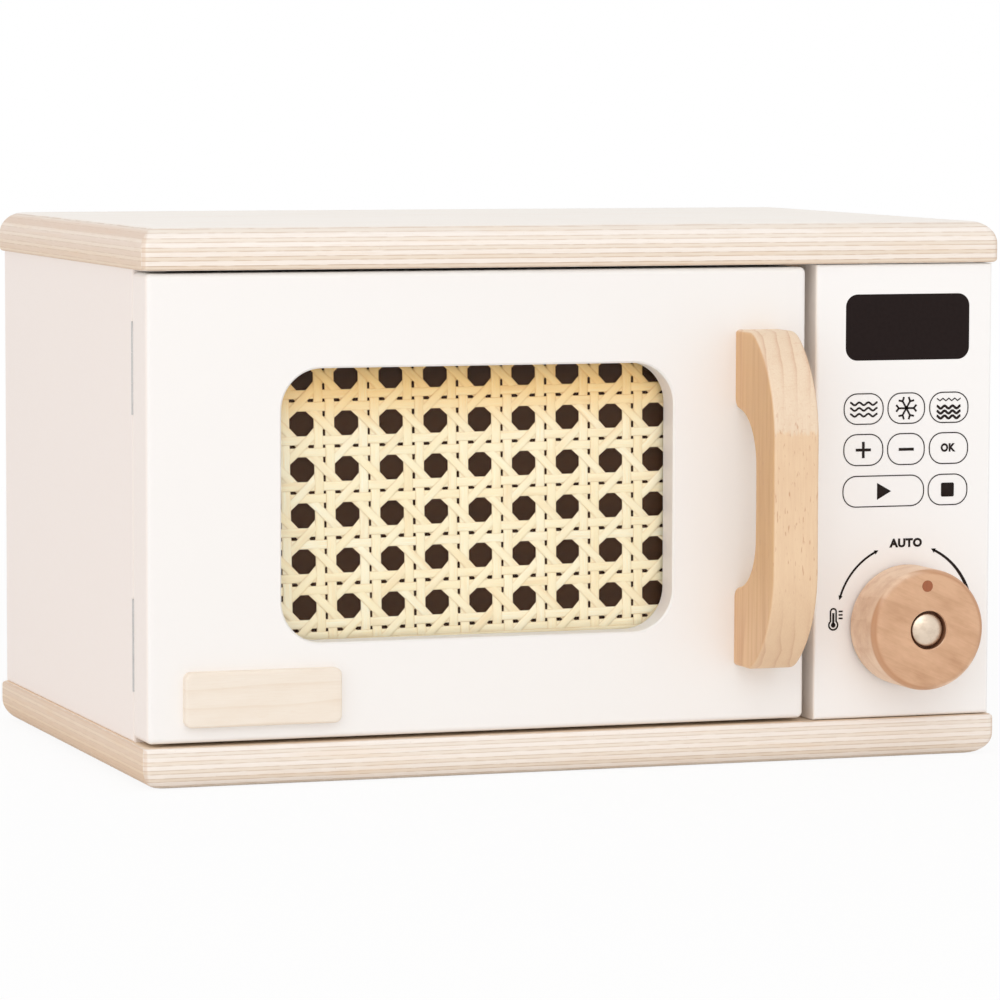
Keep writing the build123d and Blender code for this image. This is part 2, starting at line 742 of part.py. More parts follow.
with BuildPart() as hinge_side_screws:
    with Locations(*side_screw_places):
        add(hinge_screw)
save(hinge_side_screws, "hinge_side_screws")

with BuildPart() as hinge_door_screws:
    with Locations(*door_screw_places):
        add(hinge_screw)
save(hinge_door_screws, "hinge_door_screws")

# Dial: a turned disc with a recess for the bolt's head, turning on the bolt
knob_back = front_face - washer_thickness - running_gap
knob_front = knob_back - knob_thickness
knob_bore_radius = bolt_radius + knob_bore_clearance
knob_axis = Axis((knob_x, 0, knob_z), back_way)
pointer_x = knob_x - pointer_reach * math.sin(math.radians(pointer_lean))
pointer_z = knob_z + pointer_reach * math.cos(math.radians(pointer_lean))
rim_angles = [math.pi / 2 * step / rim_steps for step in range(rim_steps + 1)]
rim_points = [(knob_radius - knob_front_round * (1 - math.cos(angle)),
               -knob_thickness + knob_front_round * (1 - math.sin(angle))) for angle in rim_angles]
knob_plane = Plane(origin=(knob_x, knob_back, knob_z), x_dir=right_way, z_dir=up_way)
with BuildPart() as control_knob:
    with BuildSketch(knob_plane):
        with BuildLine():
            Polyline((0, 0), (knob_radius, 0), *rim_points, (0, -knob_thickness), close=True)
        make_face()
    revolve(axis=knob_axis)
    with BuildSketch(Plane.XZ.offset(-knob_front)):
        with Locations((knob_x, knob_z)):
            Circle(knob_recess_radius)
    extrude(amount=-knob_recess_depth, mode=Mode.SUBTRACT)
    with BuildSketch(Plane.XZ.offset(-knob_front)):
        with Locations((knob_x, knob_z)):
            Circle(knob_bore_radius)
    extrude(amount=-knob_thickness, mode=Mode.SUBTRACT)
    with BuildSketch(Plane.XZ.offset(-knob_front)):
        with Locations((pointer_x, pointer_z)):
            Circle(pointer_radius + fit_clearance)
    extrude(amount=-pointer_depth, mode=Mode.SUBTRACT)
save(control_knob, "control_knob")

with BuildPart() as pointer_dot:
    with BuildSketch(Plane.XZ.offset(-knob_front)):
        with Locations((pointer_x, pointer_z)):
            Circle(pointer_radius)
    extrude(amount=-pointer_depth)
save(pointer_dot, "pointer_dot")

# The dial's bolt: a domed head in the recess, shank through the panel to a lock nut
bolt_seat = knob_front + knob_recess_depth - running_gap
nut_front = frame_front + back_washer_thickness
bolt_tail = nut_front + nut_thickness + bolt_end
dome_angles = [math.pi / 2 * step / dome_steps for step in range(dome_steps)]
dome_points = [(bolt_head_radius * math.cos(angle), -bolt_head_skirt - bolt_head_dome * math.sin(angle))
               for angle in dome_angles]
with BuildPart() as knob_bolt:
    with BuildSketch(Plane(origin=(knob_x, bolt_seat, knob_z), x_dir=right_way, z_dir=up_way)):
        with BuildLine():
            Polyline((0, bolt_tail - bolt_seat), (bolt_radius, bolt_tail - bolt_seat), (bolt_radius, 0),
                     (bolt_head_radius, 0), *dome_points, (0, -bolt_head_skirt - bolt_head_dome), close=True)
        make_face()
    revolve(axis=knob_axis)
save(knob_bolt, "knob_bolt")

for washer_name, washer_front, outer, thick in (
        ("knob_washer", front_face - washer_thickness, washer_radius, washer_thickness),
        ("knob_back_washer", frame_front, back_washer_radius, back_washer_thickness)):
    with BuildPart() as washer:
        with BuildSketch(Plane.XZ.offset(-washer_front)):
            with Locations((knob_x, knob_z)):
                Circle(outer)
                Circle(bolt_radius + fit_clearance, mode=Mode.SUBTRACT)
        extrude(amount=-thick)
    save(washer, washer_name)

with BuildPart() as knob_nut:
    with BuildSketch(Plane.XZ.offset(-nut_front)):
        with Locations((knob_x, knob_z)):
            RegularPolygon(nut_flat_radius, nut_sides, major_radius=False)
            Circle(bolt_radius + fit_clearance, mode=Mode.SUBTRACT)
    extrude(amount=-nut_thickness)
save(knob_nut, "knob_nut")

# Turntable: a dished disc that turns on a screw, over a nylon glide
with BuildPart() as turntable_plate:
    with BuildSketch(Plane.XY.offset(plate_bottom)):
        with Locations((turntable_x, turntable_y)):
            Circle(plate_radius)
    extrude(amount=plate_thickness)
    chamfer(turntable_plate.faces().sort_by(Axis.Z)[-1].edges(), plate_arris)
    with BuildSketch(Plane.XY.offset(plate_bottom + plate_thickness)):
        with Locations((turntable_x, turntable_y)):
            Circle(plate_radius - plate_rim)
    extrude(amount=-plate_dish, mode=Mode.SUBTRACT)
    with BuildSketch(Plane.XY.offset(plate_floor)):
        with Locations((turntable_x, turntable_y)):
            Circle(pivot_recess_radius)
    extrude(amount=-pivot_recess_depth, mode=Mode.SUBTRACT)
    with BuildSketch(Plane.XY.offset(plate_bottom)):
        with Locations((turntable_x, turntable_y)):
            Circle(pivot_radius + knob_bore_clearance)
    extrude(amount=plate_thickness, mode=Mode.SUBTRACT)
save(turntable_plate, "turntable_plate")

with BuildPart() as turntable_glide:
    with BuildSketch(Plane.XY.offset(deck)):
        with Locations((turntable_x, turntable_y)):
            Circle(glide_radius)
            Circle(pivot_radius + fit_clearance, mode=Mode.SUBTRACT)
    extrude(amount=glide_thickness)
save(turntable_glide, "turntable_glide")

with BuildPart() as turntable_screw:
    with Locations(pivot_place):
        add(pivot_screw)
save(turntable_screw, "turntable_screw")
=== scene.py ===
import bpy
import math
import random
from mathutils import Matrix, Vector


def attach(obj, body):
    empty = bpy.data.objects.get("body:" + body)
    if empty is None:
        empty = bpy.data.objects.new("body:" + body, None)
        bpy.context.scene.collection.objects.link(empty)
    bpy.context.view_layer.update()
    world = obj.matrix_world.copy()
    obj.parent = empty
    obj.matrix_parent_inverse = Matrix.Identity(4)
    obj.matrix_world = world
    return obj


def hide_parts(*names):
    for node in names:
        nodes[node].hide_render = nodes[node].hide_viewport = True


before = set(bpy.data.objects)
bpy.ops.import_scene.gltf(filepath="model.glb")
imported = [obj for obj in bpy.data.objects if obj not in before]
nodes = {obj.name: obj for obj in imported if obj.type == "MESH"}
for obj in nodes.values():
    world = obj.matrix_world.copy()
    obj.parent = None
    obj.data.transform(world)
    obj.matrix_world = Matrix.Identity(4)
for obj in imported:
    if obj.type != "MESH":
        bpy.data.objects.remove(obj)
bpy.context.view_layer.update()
mm = 0.001
scene = bpy.context.scene
scene.view_settings.view_transform = "Standard"
print("frame loaded:", len(nodes), "nodes")


# Camera and lamps
studio = {
    "cameraPlace": (-0.572784, -1.687457, 0.233853),
    "lens": 182.186,
    "right": (0.9460736, -0.3239432, 0.0023751),
    "up": (0.0249213, 0.0800883, 0.9964762),
    "forward": (0.3229919, 0.9426806, -0.0838425),
    "lamps": {  # place, size, power, colour
        "keyLamp": ((-0.35, -1.7, 1.6), 1.8, 7.6, (1.0, 0.994, 0.988)),
        "sideLamp": ((-1.9, -0.9, 0.9), 1.8, 5.6, (1.0, 0.972, 0.957)),
        "frontLamp": ((-0.35, -2.2, 0.55), 2.0, 6.6, (1.0, 0.994, 0.988)),
    },
    "lampAim": (0, 0, 0.08),
    "roomLight": 0.725, "roomColour": (1.0, 0.982, 0.972, 1.0),
    "floorReach": 9, "floorFade": (0.35, 1.1), "floorWhite": 0.9,
}

cameraData = bpy.data.cameras.new("camera")
cameraData.lens = studio["lens"]
cameraData.sensor_width = 36
cameraData.clip_start = 0.05
camera = bpy.data.objects.new("camera", cameraData)
scene.collection.objects.link(camera)
turn = Matrix((studio["right"], studio["up"], [-v for v in studio["forward"]])).transposed()
camera.matrix_world = Matrix.Translation(studio["cameraPlace"]) @ turn.to_4x4()
scene.camera = camera


def softLamp(name, place, size, power, colour):
    lampData = bpy.data.lights.new(name, "AREA")
    lampData.shape = "SQUARE"
    lampData.size = size
    lampData.energy = power
    lampData.color = colour
    lamp = bpy.data.objects.new(name, lampData)
    lamp.location = place
    lamp.rotation_euler = (Vector(studio["lampAim"]) - Vector(place)).to_track_quat("-Z", "Y").to_euler()
    scene.collection.objects.link(lamp)


for name, values in studio["lamps"].items():
    softLamp(name, *values)


# Shader helpers
def srgb(*levels):
    shares = [v / 255 for v in levels]
    return tuple(s / 12.92 if s <= 0.04045 else ((s + 0.055) / 1.055) ** 2.4 for s in shares) + (1.0,)


def feed(tree, socket, value):
    if isinstance(value, bpy.types.NodeSocket):
        tree.links.new(value, socket)
    elif value is not None:
        socket.default_value = value


def node(tree, kind, values=None, **settings):
    made = tree.nodes.new(kind)
    for key, value in settings.items():
        setattr(made, key, value)
    for key, value in (values or {}).items():
        feed(tree, made.inputs[key], value)
    return made


def calc(tree, operation, *values, clamp=False):
    return node(tree, "ShaderNodeMath", dict(enumerate(values)), operation=operation, use_clamp=clamp).outputs[0]


def spread(tree, vector, factors):
    return node(tree, "ShaderNodeVectorMath", {0: vector, 1: factors}, operation="MULTIPLY").outputs[0]


def ramp(tree, value, low, high, start=0.0, end=1.0):
    values = {"Value": value, "From Min": low, "From Max": high, "To Min": start, "To Max": end}
    return node(tree, "ShaderNodeMapRange", values, interpolation_type="SMOOTHSTEP").outputs["Result"]


def blend(tree, factor, first, second, way="MIX"):
    made = node(tree, "ShaderNodeMix", data_type="RGBA", blend_type=way)
    for index, value in ((0, factor), (6, first), (7, second)):
        feed(tree, made.inputs[index], value)
    return made.outputs[2]


def grainNoise(tree, vector, scale=1.0, detail=3.0, rough=0.5):
    values = {"Vector": vector, "Scale": scale, "Detail": detail, "Roughness": rough}
    return node(tree, "ShaderNodeTexNoise", values).outputs[0]


def split(tree, vector):
    return node(tree, "ShaderNodeSeparateXYZ", {0: vector}).outputs


def lengthOf(tree, vector):
    return node(tree, "ShaderNodeVectorMath", {0: vector}, operation="LENGTH").outputs["Value"]


def facingOf(tree):
    return node(tree, "ShaderNodeTexCoord").outputs["Normal"]


def turnGrain(tree, place, degrees):
    rotation = [math.radians(v) for v in degrees]
    return node(tree, "ShaderNodeMapping", {"Vector": place, "Rotation": rotation}).outputs[0]


def newGroup(name, inputs, outputs):
    group = bpy.data.node_groups.new(name, "ShaderNodeTree")
    for label, kind, value in inputs:
        socket = group.interface.new_socket(name=label, in_out="INPUT", socket_type="NodeSocket" + kind)
        if value is not None:
            socket.default_value = value
    for label, kind in outputs:
        group.interface.new_socket(name=label, in_out="OUTPUT", socket_type="NodeSocket" + kind)
    return group, group.nodes.new("NodeGroupInput").outputs, group.nodes.new("NodeGroupOutput").inputs


# Shared effects: paint film, wood figure, plywood edge, brushed metal
paintFilm, given, made = newGroup(
    "paintFilm",
    [("Place", "Vector", None), ("Tone", "Color", None), ("Unevenness", "Float", 1.0)],
    [("Color", "Color"), ("Roughness", "Float"), ("Height", "Float")])
wide = grainNoise(paintFilm, spread(paintFilm, given["Place"], (0.012, 0.012, 0.012)), 1.0, 2.0)
fine = grainNoise(paintFilm, spread(paintFilm, given["Place"], (0.55, 0.55, 0.55)), 1.0, 3.0, 0.6)
shade = calc(paintFilm, "MULTIPLY", calc(paintFilm, "SUBTRACT", wide, 0.5), 0.10)
shade = calc(paintFilm, "ADD", shade, calc(paintFilm, "MULTIPLY", calc(paintFilm, "SUBTRACT", fine, 0.5), 0.03))
shade = calc(paintFilm, "MULTIPLY", shade, given["Unevenness"])
warmer = blend(paintFilm, 1.0, given["Tone"], (0.93, 0.90, 0.87, 1), "MULTIPLY")
shade = calc(paintFilm, "ADD", shade, 0.12, clamp=True)
feed(paintFilm, made["Color"], blend(paintFilm, shade, given["Tone"], warmer))
feed(paintFilm, made["Roughness"], ramp(paintFilm, fine, 0.3, 0.7, 0.42, 0.52))
feed(paintFilm, made["Height"], fine)

# Place is in mm, grain along Z and year rings across X
woodFigure, given, made = newGroup(
    "woodFigure",
    [("Place", "Vector", None), ("Pale", "Color", None), ("Deep", "Color", None), ("Ring Width", "Float", 5.0),
     ("Ring Strength", "Float", 0.5), ("Fleck Strength", "Float", 0.4), ("Mottle", "Float", 0.3)],
    [("Color", "Color"), ("Roughness", "Float"), ("Height", "Float")])
drift = grainNoise(woodFigure, spread(woodFigure, given["Place"], (0.05, 0.05, 0.012)), 1.0, 2.0)
across = calc(woodFigure, "MULTIPLY_ADD", drift, 9.0, split(woodFigure, given["Place"])[0])
rings = calc(woodFigure, "FRACT", calc(woodFigure, "DIVIDE", across, given["Ring Width"]))
late = calc(woodFigure, "POWER", rings, 5.0)
late = calc(woodFigure, "MULTIPLY", late, ramp(woodFigure, rings, 1.0, 0.93))
late = calc(woodFigure, "MULTIPLY", late, calc(woodFigure, "MULTIPLY", given["Ring Strength"], 1.6))
fibres = grainNoise(woodFigure, spread(woodFigure, given["Place"], (2.6, 2.6, 0.09)), 1.0, 4.0, 0.65)
flecks = grainNoise(woodFigure, spread(woodFigure, given["Place"], (1.5, 1.5, 0.30)), 1.0, 2.0, 0.4)
flecks = calc(woodFigure, "MULTIPLY", ramp(woodFigure, flecks, 0.64, 0.74), given["Fleck Strength"])
cloud = grainNoise(woodFigure, spread(woodFigure, given["Place"], (0.16, 0.16, 0.07)), 1.0, 3.0, 0.6)
cloud = calc(woodFigure, "MULTIPLY", calc(woodFigure, "SUBTRACT", cloud, 0.42), given["Mottle"])
depth = calc(woodFigure, "ADD", late, calc(woodFigure, "MULTIPLY", calc(woodFigure, "SUBTRACT", fibres, 0.42), 0.55))
depth = calc(woodFigure, "ADD", calc(woodFigure, "ADD", depth, cloud), flecks, clamp=True)
feed(woodFigure, made["Color"], blend(woodFigure, depth, given["Pale"], given["Deep"]))
feed(woodFigure, made["Roughness"], ramp(woodFigure, fibres, 0.2, 0.8, 0.46, 0.62))
feed(woodFigure, made["Height"], calc(woodFigure, "SUBTRACT", fibres, flecks))

# Level is the height above the board's underside in mm
# Long-grain plies are bright in front, end-grain ones at the sides
plyTones = {
    "frontDull": srgb(245, 235, 223), "sideDull": srgb(241, 225, 212),
    "frontBright": srgb(252, 244, 236), "sideBright": srgb(248, 235, 222),
    "glue": srgb(222, 204, 188), "glueLow": srgb(207, 181, 158), "streak": srgb(224, 202, 180),
    "patch": srgb(243, 218, 190), "pore": srgb(150, 112, 84), "corner": srgb(216, 184, 156),
    "skinGrain": srgb(249, 236, 224), "amber": (0.875, 0.755, 0.605, 1),
}
plyEdge, given, made = newGroup(
    "plyEdge",
    [("Place", "Vector", None), ("Facing", "Vector", None), ("Level", "Float", 0.0), ("First", "Float", 2.3),
     ("Period", "Float", 2.9), ("Warmth", "Float", 0.5), ("Side Shade", "Float", 0.0), ("Skin", "Color", None)],
    [("Color", "Color"), ("Roughness", "Float"), ("Height", "Float")])
facing = split(plyEdge, given["Facing"])
sideways = ramp(plyEdge, calc(plyEdge, "SUBTRACT", calc(plyEdge, "ABSOLUTE", facing[0]),
                              calc(plyEdge, "ABSOLUTE", facing[1])), 0.35, 0.65)
wobble = grainNoise(plyEdge, spread(plyEdge, given["Place"], (0.035, 0.035, 0.25)), 1.0, 3.0)
level = calc(plyEdge, "MULTIPLY_ADD", wobble, 0.3, calc(plyEdge, "SUBTRACT", given["Level"], given["First"]))
phase = calc(plyEdge, "FRACT", calc(plyEdge, "ADD", calc(plyEdge, "DIVIDE", level, given["Period"]), 0.45))
away = calc(plyEdge, "ABSOLUTE", calc(plyEdge, "SUBTRACT", phase, 0.5))
bright = node(plyEdge, "ShaderNodeMix", {
    0: sideways, 2: ramp(plyEdge, away, 0.31, 0.26), 3: ramp(plyEdge, away, 0.18, 0.36)}).outputs[0]
glue = ramp(plyEdge, calc(plyEdge, "ABSOLUTE", calc(plyEdge, "SUBTRACT", away, 0.288)), 0.085, 0.015)
broken = grainNoise(plyEdge, spread(plyEdge, given["Place"], (0.16, 0.16, 0.5)), 1.0, 2.0)
glue = calc(plyEdge, "MULTIPLY", glue, ramp(plyEdge, broken, 0.35, 0.55, 0.35, 1.0))
glue = calc(plyEdge, "MULTIPLY", glue, ramp(plyEdge, sideways, 0.0, 1.0, 0.85, 0.5))
streaks = grainNoise(plyEdge, spread(plyEdge, given["Place"], (0.10, 0.10, 3.2)), 1.0, 4.0, 0.65)
pores = grainNoise(plyEdge, spread(plyEdge, given["Place"], (1.5, 1.5, 2.6)), 1.0, 3.0, 0.6)
patches = grainNoise(plyEdge, spread(plyEdge, given["Place"], (0.020, 0.020, 0.35)), 1.0, 2.0)
low = ramp(plyEdge, given["Level"], 13.0, -2.0)
dull = blend(plyEdge, sideways, plyTones["frontDull"], plyTones["sideDull"])
shining = blend(plyEdge, sideways, plyTones["frontBright"], plyTones["sideBright"])
colour = blend(plyEdge, bright, dull, shining)
colour = blend(plyEdge, glue, colour, blend(plyEdge, low, plyTones["glue"], plyTones["glueLow"]))
colour = blend(plyEdge, ramp(plyEdge, streaks, 0.45, 0.85, 0.0, 0.45), colour, plyTones["streak"])
colour = blend(plyEdge, ramp(plyEdge, patches, 0.50, 0.80, 0.0, 0.35), colour, plyTones["patch"])
colour = blend(plyEdge, ramp(plyEdge, pores, 0.70, 0.76, 0.0, 0.6), colour, plyTones["pore"])
dullOnes, sideOnes = ramp(plyEdge, bright, 1.0, 0.0, 0.35, 1.0), ramp(plyEdge, sideways, 0.0, 1.0, 0.35, 1.3)
amber = calc(plyEdge, "MULTIPLY", calc(plyEdge, "MULTIPLY", low, given["Warmth"]),
             calc(plyEdge, "MAXIMUM", dullOnes, sideOnes))
# Painted shade: the amber tone laid over the side faces by the side input
amber = calc(plyEdge, "ADD", amber, calc(plyEdge, "MULTIPLY", sideways, given["Side Shade"]), clamp=True)
colour = blend(plyEdge, amber, colour, blend(plyEdge, 1.0, colour, plyTones["amber"], "MULTIPLY"))
turning = calc(plyEdge, "ABSOLUTE", facing[0])
turning = calc(plyEdge, "MULTIPLY", ramp(plyEdge, turning, 0.35, 0.6), ramp(plyEdge, turning, 0.93, 0.8, 0.0, 0.4))
colour = blend(plyEdge, turning, colour, plyTones["corner"])
flat = ramp(plyEdge, calc(plyEdge, "ABSOLUTE", facing[2]), 0.95, 0.995)
skinGrain = grainNoise(plyEdge, spread(plyEdge, given["Place"], (0.025, 0.6, 0.6)), 1.0, 4.0, 0.6)
skin = blend(plyEdge, ramp(plyEdge, skinGrain, 0.40, 0.80, 0.0, 0.6), given["Skin"], plyTones["skinGrain"])
feed(plyEdge, made["Color"], blend(plyEdge, flat, colour, skin))
feed(plyEdge, made["Roughness"], ramp(plyEdge, streaks, 0.2, 0.8, 0.48, 0.62))
feed(plyEdge, made["Height"], calc(plyEdge, "SUBTRACT", bright, calc(plyEdge, "MULTIPLY", glue, 1.4)))

brushed, given, made = newGroup(
    "brushedMetal",
    [("Place", "Vector", None), ("Metal", "Color", None), ("Stretch", "Vector", (0.3, 6.0, 6.0)),
     ("Dullness", "Float", 0.0)],
    [("Color", "Color"), ("Roughness", "Float"), ("Height", "Float")])
lines = grainNoise(brushed, spread(brushed, given["Place"], given["Stretch"]), 1.0, 3.0, 0.6)
darker = blend(brushed, 1.0, given["Metal"], (0.78, 0.77, 0.76, 1), "MULTIPLY")
feed(brushed, made["Color"], blend(brushed, ramp(brushed, lines, 0.35, 0.75), given["Metal"], darker))
feed(brushed, made["Roughness"], calc(brushed, "ADD", ramp(brushed, lines, 0.3, 0.7, 0.24, 0.38), given["Dullness"]))
feed(brushed, made["Height"], lines)
print("shared effects ready")


# Finishes
def startFinish(name):
    finish = bpy.data.materials.new(name)
    finish.use_nodes = True
    tree = finish.node_tree
    shader = tree.nodes["Principled BSDF"]
    place = spread(tree, node(tree, "ShaderNodeTexCoord").outputs["Object"], (1000, 1000, 1000))
    return finish, tree, shader, place


def emboss(tree, shader, height, strength, relief):
    bump = node(tree, "ShaderNodeBump", {"Height": height, "Strength": strength, "Distance": relief * mm})
    tree.links.new(bump.outputs[0], shader.inputs["Normal"])


def dress(tree, shader, group, values, relief, strength):
    effect = node(tree, "ShaderNodeGroup", values, node_tree=group).outputs
    tree.links.new(effect["Color"], shader.inputs["Base Color"])
    tree.links.new(effect["Roughness"], shader.inputs["Roughness"])
    emboss(tree, shader, effect["Height"], strength, relief)


def paintFinish(name, tone, leftShadeTone=None, unevenness=1.0):
    finish, tree, shader, place = startFinish(name)
    if leftShadeTone:  # painted shade: faces that look left take the warmer tone they show under the light from the left
        leftward = calc(tree, "MULTIPLY", split(tree, facingOf(tree))[0], -1.0)
        tone = blend(tree, ramp(tree, leftward, 0.55, 0.9), tone, leftShadeTone)
    dress(tree, shader, paintFilm, {"Place": place, "Tone": tone, "Unevenness": unevenness}, 0.03, 0.25)
    return finish


def plywoodFinish(name, underside, first, period, warmth, sideShade, skin):
    finish, tree, shader, place = startFinish(name)
    level = calc(tree, "SUBTRACT", split(tree, place)[2], underside)
    dress(tree, shader, plyEdge, {
        "Place": place, "Facing": facingOf(tree), "Level": level, "First": first, "Period": period,
        "Warmth": warmth, "Side Shade": sideShade, "Skin": skin}, 0.08, 0.3)
    return finish


def woodFinish(name, grain, pale, deep, ringWidth, rings, flecks, mottle):
    finish, tree, shader, place = startFinish(name)
    dress(tree, shader, woodFigure, {
        "Place": turnGrain(tree, place, grain), "Pale": pale, "Deep": deep, "Ring Width": ringWidth,
        "Ring Strength": rings, "Fleck Strength": flecks, "Mottle": mottle}, 0.05, 0.3)
    return finish


def metalFinish(name, metal, stretch=(0.3, 6.0, 6.0), dullness=0.0):
    finish, tree, shader, place = startFinish(name)
    dress(tree, shader, brushed, {
        "Place": place, "Metal": metal, "Stretch": stretch, "Dullness": dullness}, 0.01, 0.1)
    shader.inputs["Metallic"].default_value = 1.0
    return finish


def plasticFinish(name, tone, unevenness=1.0, rough=0.4, sheen=0.5):
    finish, tree, shader, place = startFinish(name)
    shader.inputs["Specular IOR Level"].default_value = sheen
    speck = grainNoise(tree, place, 0.8, 3.0)
    deeper = [v * 0.86 for v in tone[:3]] + [1.0]
    feed(tree, shader.inputs["Base Color"], blend(tree, ramp(tree, speck, 0.4, 0.7, 0.0, unevenness), tone, deeper))
    feed(tree, shader.inputs["Roughness"], ramp(tree, speck, 0.3, 0.7, rough - 0.06, rough + 0.08))
    emboss(tree, shader, speck, 0.15, 0.02)
    return finish


# Door and fascia: the second tone is painted shade on the faces that look left
doorPaint = paintFinish("doorPaint", srgb(250, 248, 246), srgb(250, 241, 235))
bodyPaint = paintFinish("bodyPaint", srgb(250, 240, 234))
fasciaPaint = paintFinish("fasciaPaint", srgb(254, 253, 252), srgb(254, 246, 239))
innerPaint = paintFinish("innerPaint", srgb(226, 198, 172), None, 2.0)
# Plywood: underside, first glue line and ply in mm, warmth in front, painted shade at the sides, and the skin
topPlywood = plywoodFinish("topPlywood", 170.0, 2.35, 2.98, 0.55, 0.0, srgb(255, 251, 245))
# The base's darker, warmer skin is unpainted wood and also painted shade for the strip under the door
basePlywood = plywoodFinish("basePlywood", 0.0, 2.0, 2.78, 0.5, 0.62, srgb(240, 216, 188))
displayInk = plasticFinish("displayBlack", srgb(36, 27, 26), 0.6, 0.55, 0.08)
signInk = plasticFinish("signInk", srgb(42, 34, 32), 0.5, 0.6, 0.08)
# Woods: turn of the grain in degrees, pale and deep tone, ring width in mm, strength of rings, flecks and mottle
darkBoard = woodFinish("darkBoard", (0, 90, 0), srgb(62, 38, 20), srgb(40, 22, 10), 7.0, 0.3, 0.3, 0.5)
darkBoard.node_tree.nodes["Principled BSDF"].inputs["Specular IOR Level"].default_value = 0.1
innerBeech = woodFinish("innerBeech", (0, 90, 20), srgb(240, 214, 180), srgb(205, 160, 115), 6.0, 0.5, 0.4, 0.5)
pointerWood = woodFinish("pointerWood", (90, 0, 0), srgb(164, 95, 58), srgb(140, 79, 47), 1.2, 0.4, 0.3, 0.5)
plaqueWood = woodFinish("plaqueWood", (0, 90, 0), srgb(246, 235, 221), srgb(231, 210, 186), 6.5, 0.25, 0.1, 0.4)
screwSteel = metalFinish("screwSteel", srgb(205, 205, 207))
hingeSteel = metalFinish("hingeSteel", srgb(200, 198, 196), (6.0, 6.0, 0.3))
boltSteel = metalFinish("boltSteel", srgb(231, 213, 193), (0.25, 0.5, 0.35), 0.08)
nylon = plasticFinish("nylon", srgb(238, 236, 230), 0.6, 0.5)

# Clear pane, which casts no shadow of its own
acrylic, tree, shader, place = startFinish("acrylic")
wave = grainNoise(tree, place, 0.02, 2.0)
feed(tree, shader.inputs["Base Color"], blend(tree, ramp(tree, wave, 0.3, 0.7), (1, 1, 1, 1), (0.985, 0.99, 0.99, 1)))
feed(tree, shader.inputs["Roughness"], ramp(tree, wave, 0.3, 0.7, 0.01, 0.03))
shader.inputs["IOR"].default_value = 1.13
shader.inputs["Transmission Weight"].default_value = 1.0
through = node(tree, "ShaderNodeBsdfTransparent")
chosen = node(tree, "ShaderNodeMixShader", {0: node(tree, "ShaderNodeLightPath").outputs["Is Shadow Ray"],
                                            1: shader.outputs[0], 2: through.outputs[0]})
tree.links.new(chosen.outputs[0], tree.nodes["Material Output"].inputs["Surface"])
print("finishes ready")


# Mesh helpers
def smoothOut(made, sharp, even=True):
    made.data.polygons.foreach_set("use_smooth", [True] * len(made.data.polygons))
    made.data.set_sharp_from_angle(angle=math.radians(sharp))
    if even:
        made.modifiers.new("evenShading", "WEIGHTED_NORMAL").keep_sharp = True


def addPiece(name, mesh, body, finish):
    made = bpy.data.objects.new(name, mesh)
    scene.collection.objects.link(made)
    mesh.materials.clear()
    mesh.materials.append(finish)
    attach(made, body)
    return made


def piece(name, points, faces, body, finish, slotName, standsFor=None, sharp=38.0, even=True):
    mesh = bpy.data.meshes.new(name)
    mesh.from_pydata([[v * mm for v in p] for p in points], [], faces)
    mesh.validate()
    made = addPiece(name, mesh, body, finish)
    smoothOut(made, sharp, even)
    if standsFor:
        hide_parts(standsFor)
    return made


def arc(centre, radius, first, last, steps=28):
    angles = [math.radians(first + (last - first) * k / steps) for k in range(steps + 1)]
    return [(centre[0] + radius * math.cos(angle), centre[1] + radius * math.sin(angle)) for angle in angles]


# Rings of points with the same count, joined by quads and closed at both ends
def stackRings(rings):
    count = len(rings[0])
    points = [p for ring in rings for p in ring]
    faces = []
    for level in range(len(rings) - 1):
        a, b = level * count, (level + 1) * count
        for k in range(count):
            n = (k + 1) % count
            faces.append((a + k, a + n, b + n, b + k))
    faces.append(tuple(range(count))[::-1])
    faces.append(tuple(range(len(points) - count, len(points))))
    return points, faces


def roundedRectangle(halfX, halfY, radius, steps=6):
    points = []
    for cornerX, cornerY, start in ((1, 1, 0), (-1, 1, 90), (-1, -1, 180), (1, -1, 270)):
        centre = (cornerX * (halfX - radius), cornerY * (halfY - radius))
        points += arc(centre, radius, start, start + 90, steps)
    return points


# An outline's corners, each with its own radius
def softCorners(corners, steps=5):
    points = []
    for index, (x, y, radius) in enumerate(corners):
        if radius == 0:
            points.append((x, y))
            continue
        here = Vector((x, y))
        before = (Vector(corners[index - 1][:2]) - here).normalized()
        after = (Vector(corners[(index + 1) % len(corners)][:2]) - here).normalized()
        half = before.angle(after) / 2
        centre = here + (before + after).normalized() * radius / math.sin(half)
        start = here + before * radius / math.tan(half) - centre
        end = here + after * radius / math.tan(half) - centre
        first = math.atan2(start.y, start.x)
        sweep = (math.atan2(end.y, end.x) - first + math.pi) % (2 * math.pi) - math.pi
        points += arc(centre, radius, math.degrees(first), math.degrees(first + sweep), steps)
    return points


# A turned piece: outline of (radius, height), closed on itself or ending on the axis
def turnedShape(outline, place, segments=64, axis="Y"):
    points, faces, rows = [], [], []
    for radius, height in outline:
        row = []
        for k in range(1 if radius < 1e-6 else segments):
            angle = 2 * math.pi * k / segments
            a, b = radius * math.cos(angle), radius * math.sin(angle)
            offset = (a, height, b) if axis == "Y" else (a, b, height)
            row.append(len(points))
            points.append([place[i] + offset[i] for i in range(3)])
        rows.append(row)
    pairs = list(zip(rows, rows[1:]))
    if len(rows[0]) > 1 and len(rows[-1]) > 1:
        pairs.append((rows[-1], rows[0]))
    for low, high in pairs:
        for k in range(segments):
            n = (k + 1) % segments
            if len(low) == 1:
                faces.append((low[0], high[n], high[k]))
            elif len(high) == 1:
                faces.append((low[k], low[n], high[0]))
            else:
                faces.append((low[k], low[n], high[n], high[k]))
    return points, faces


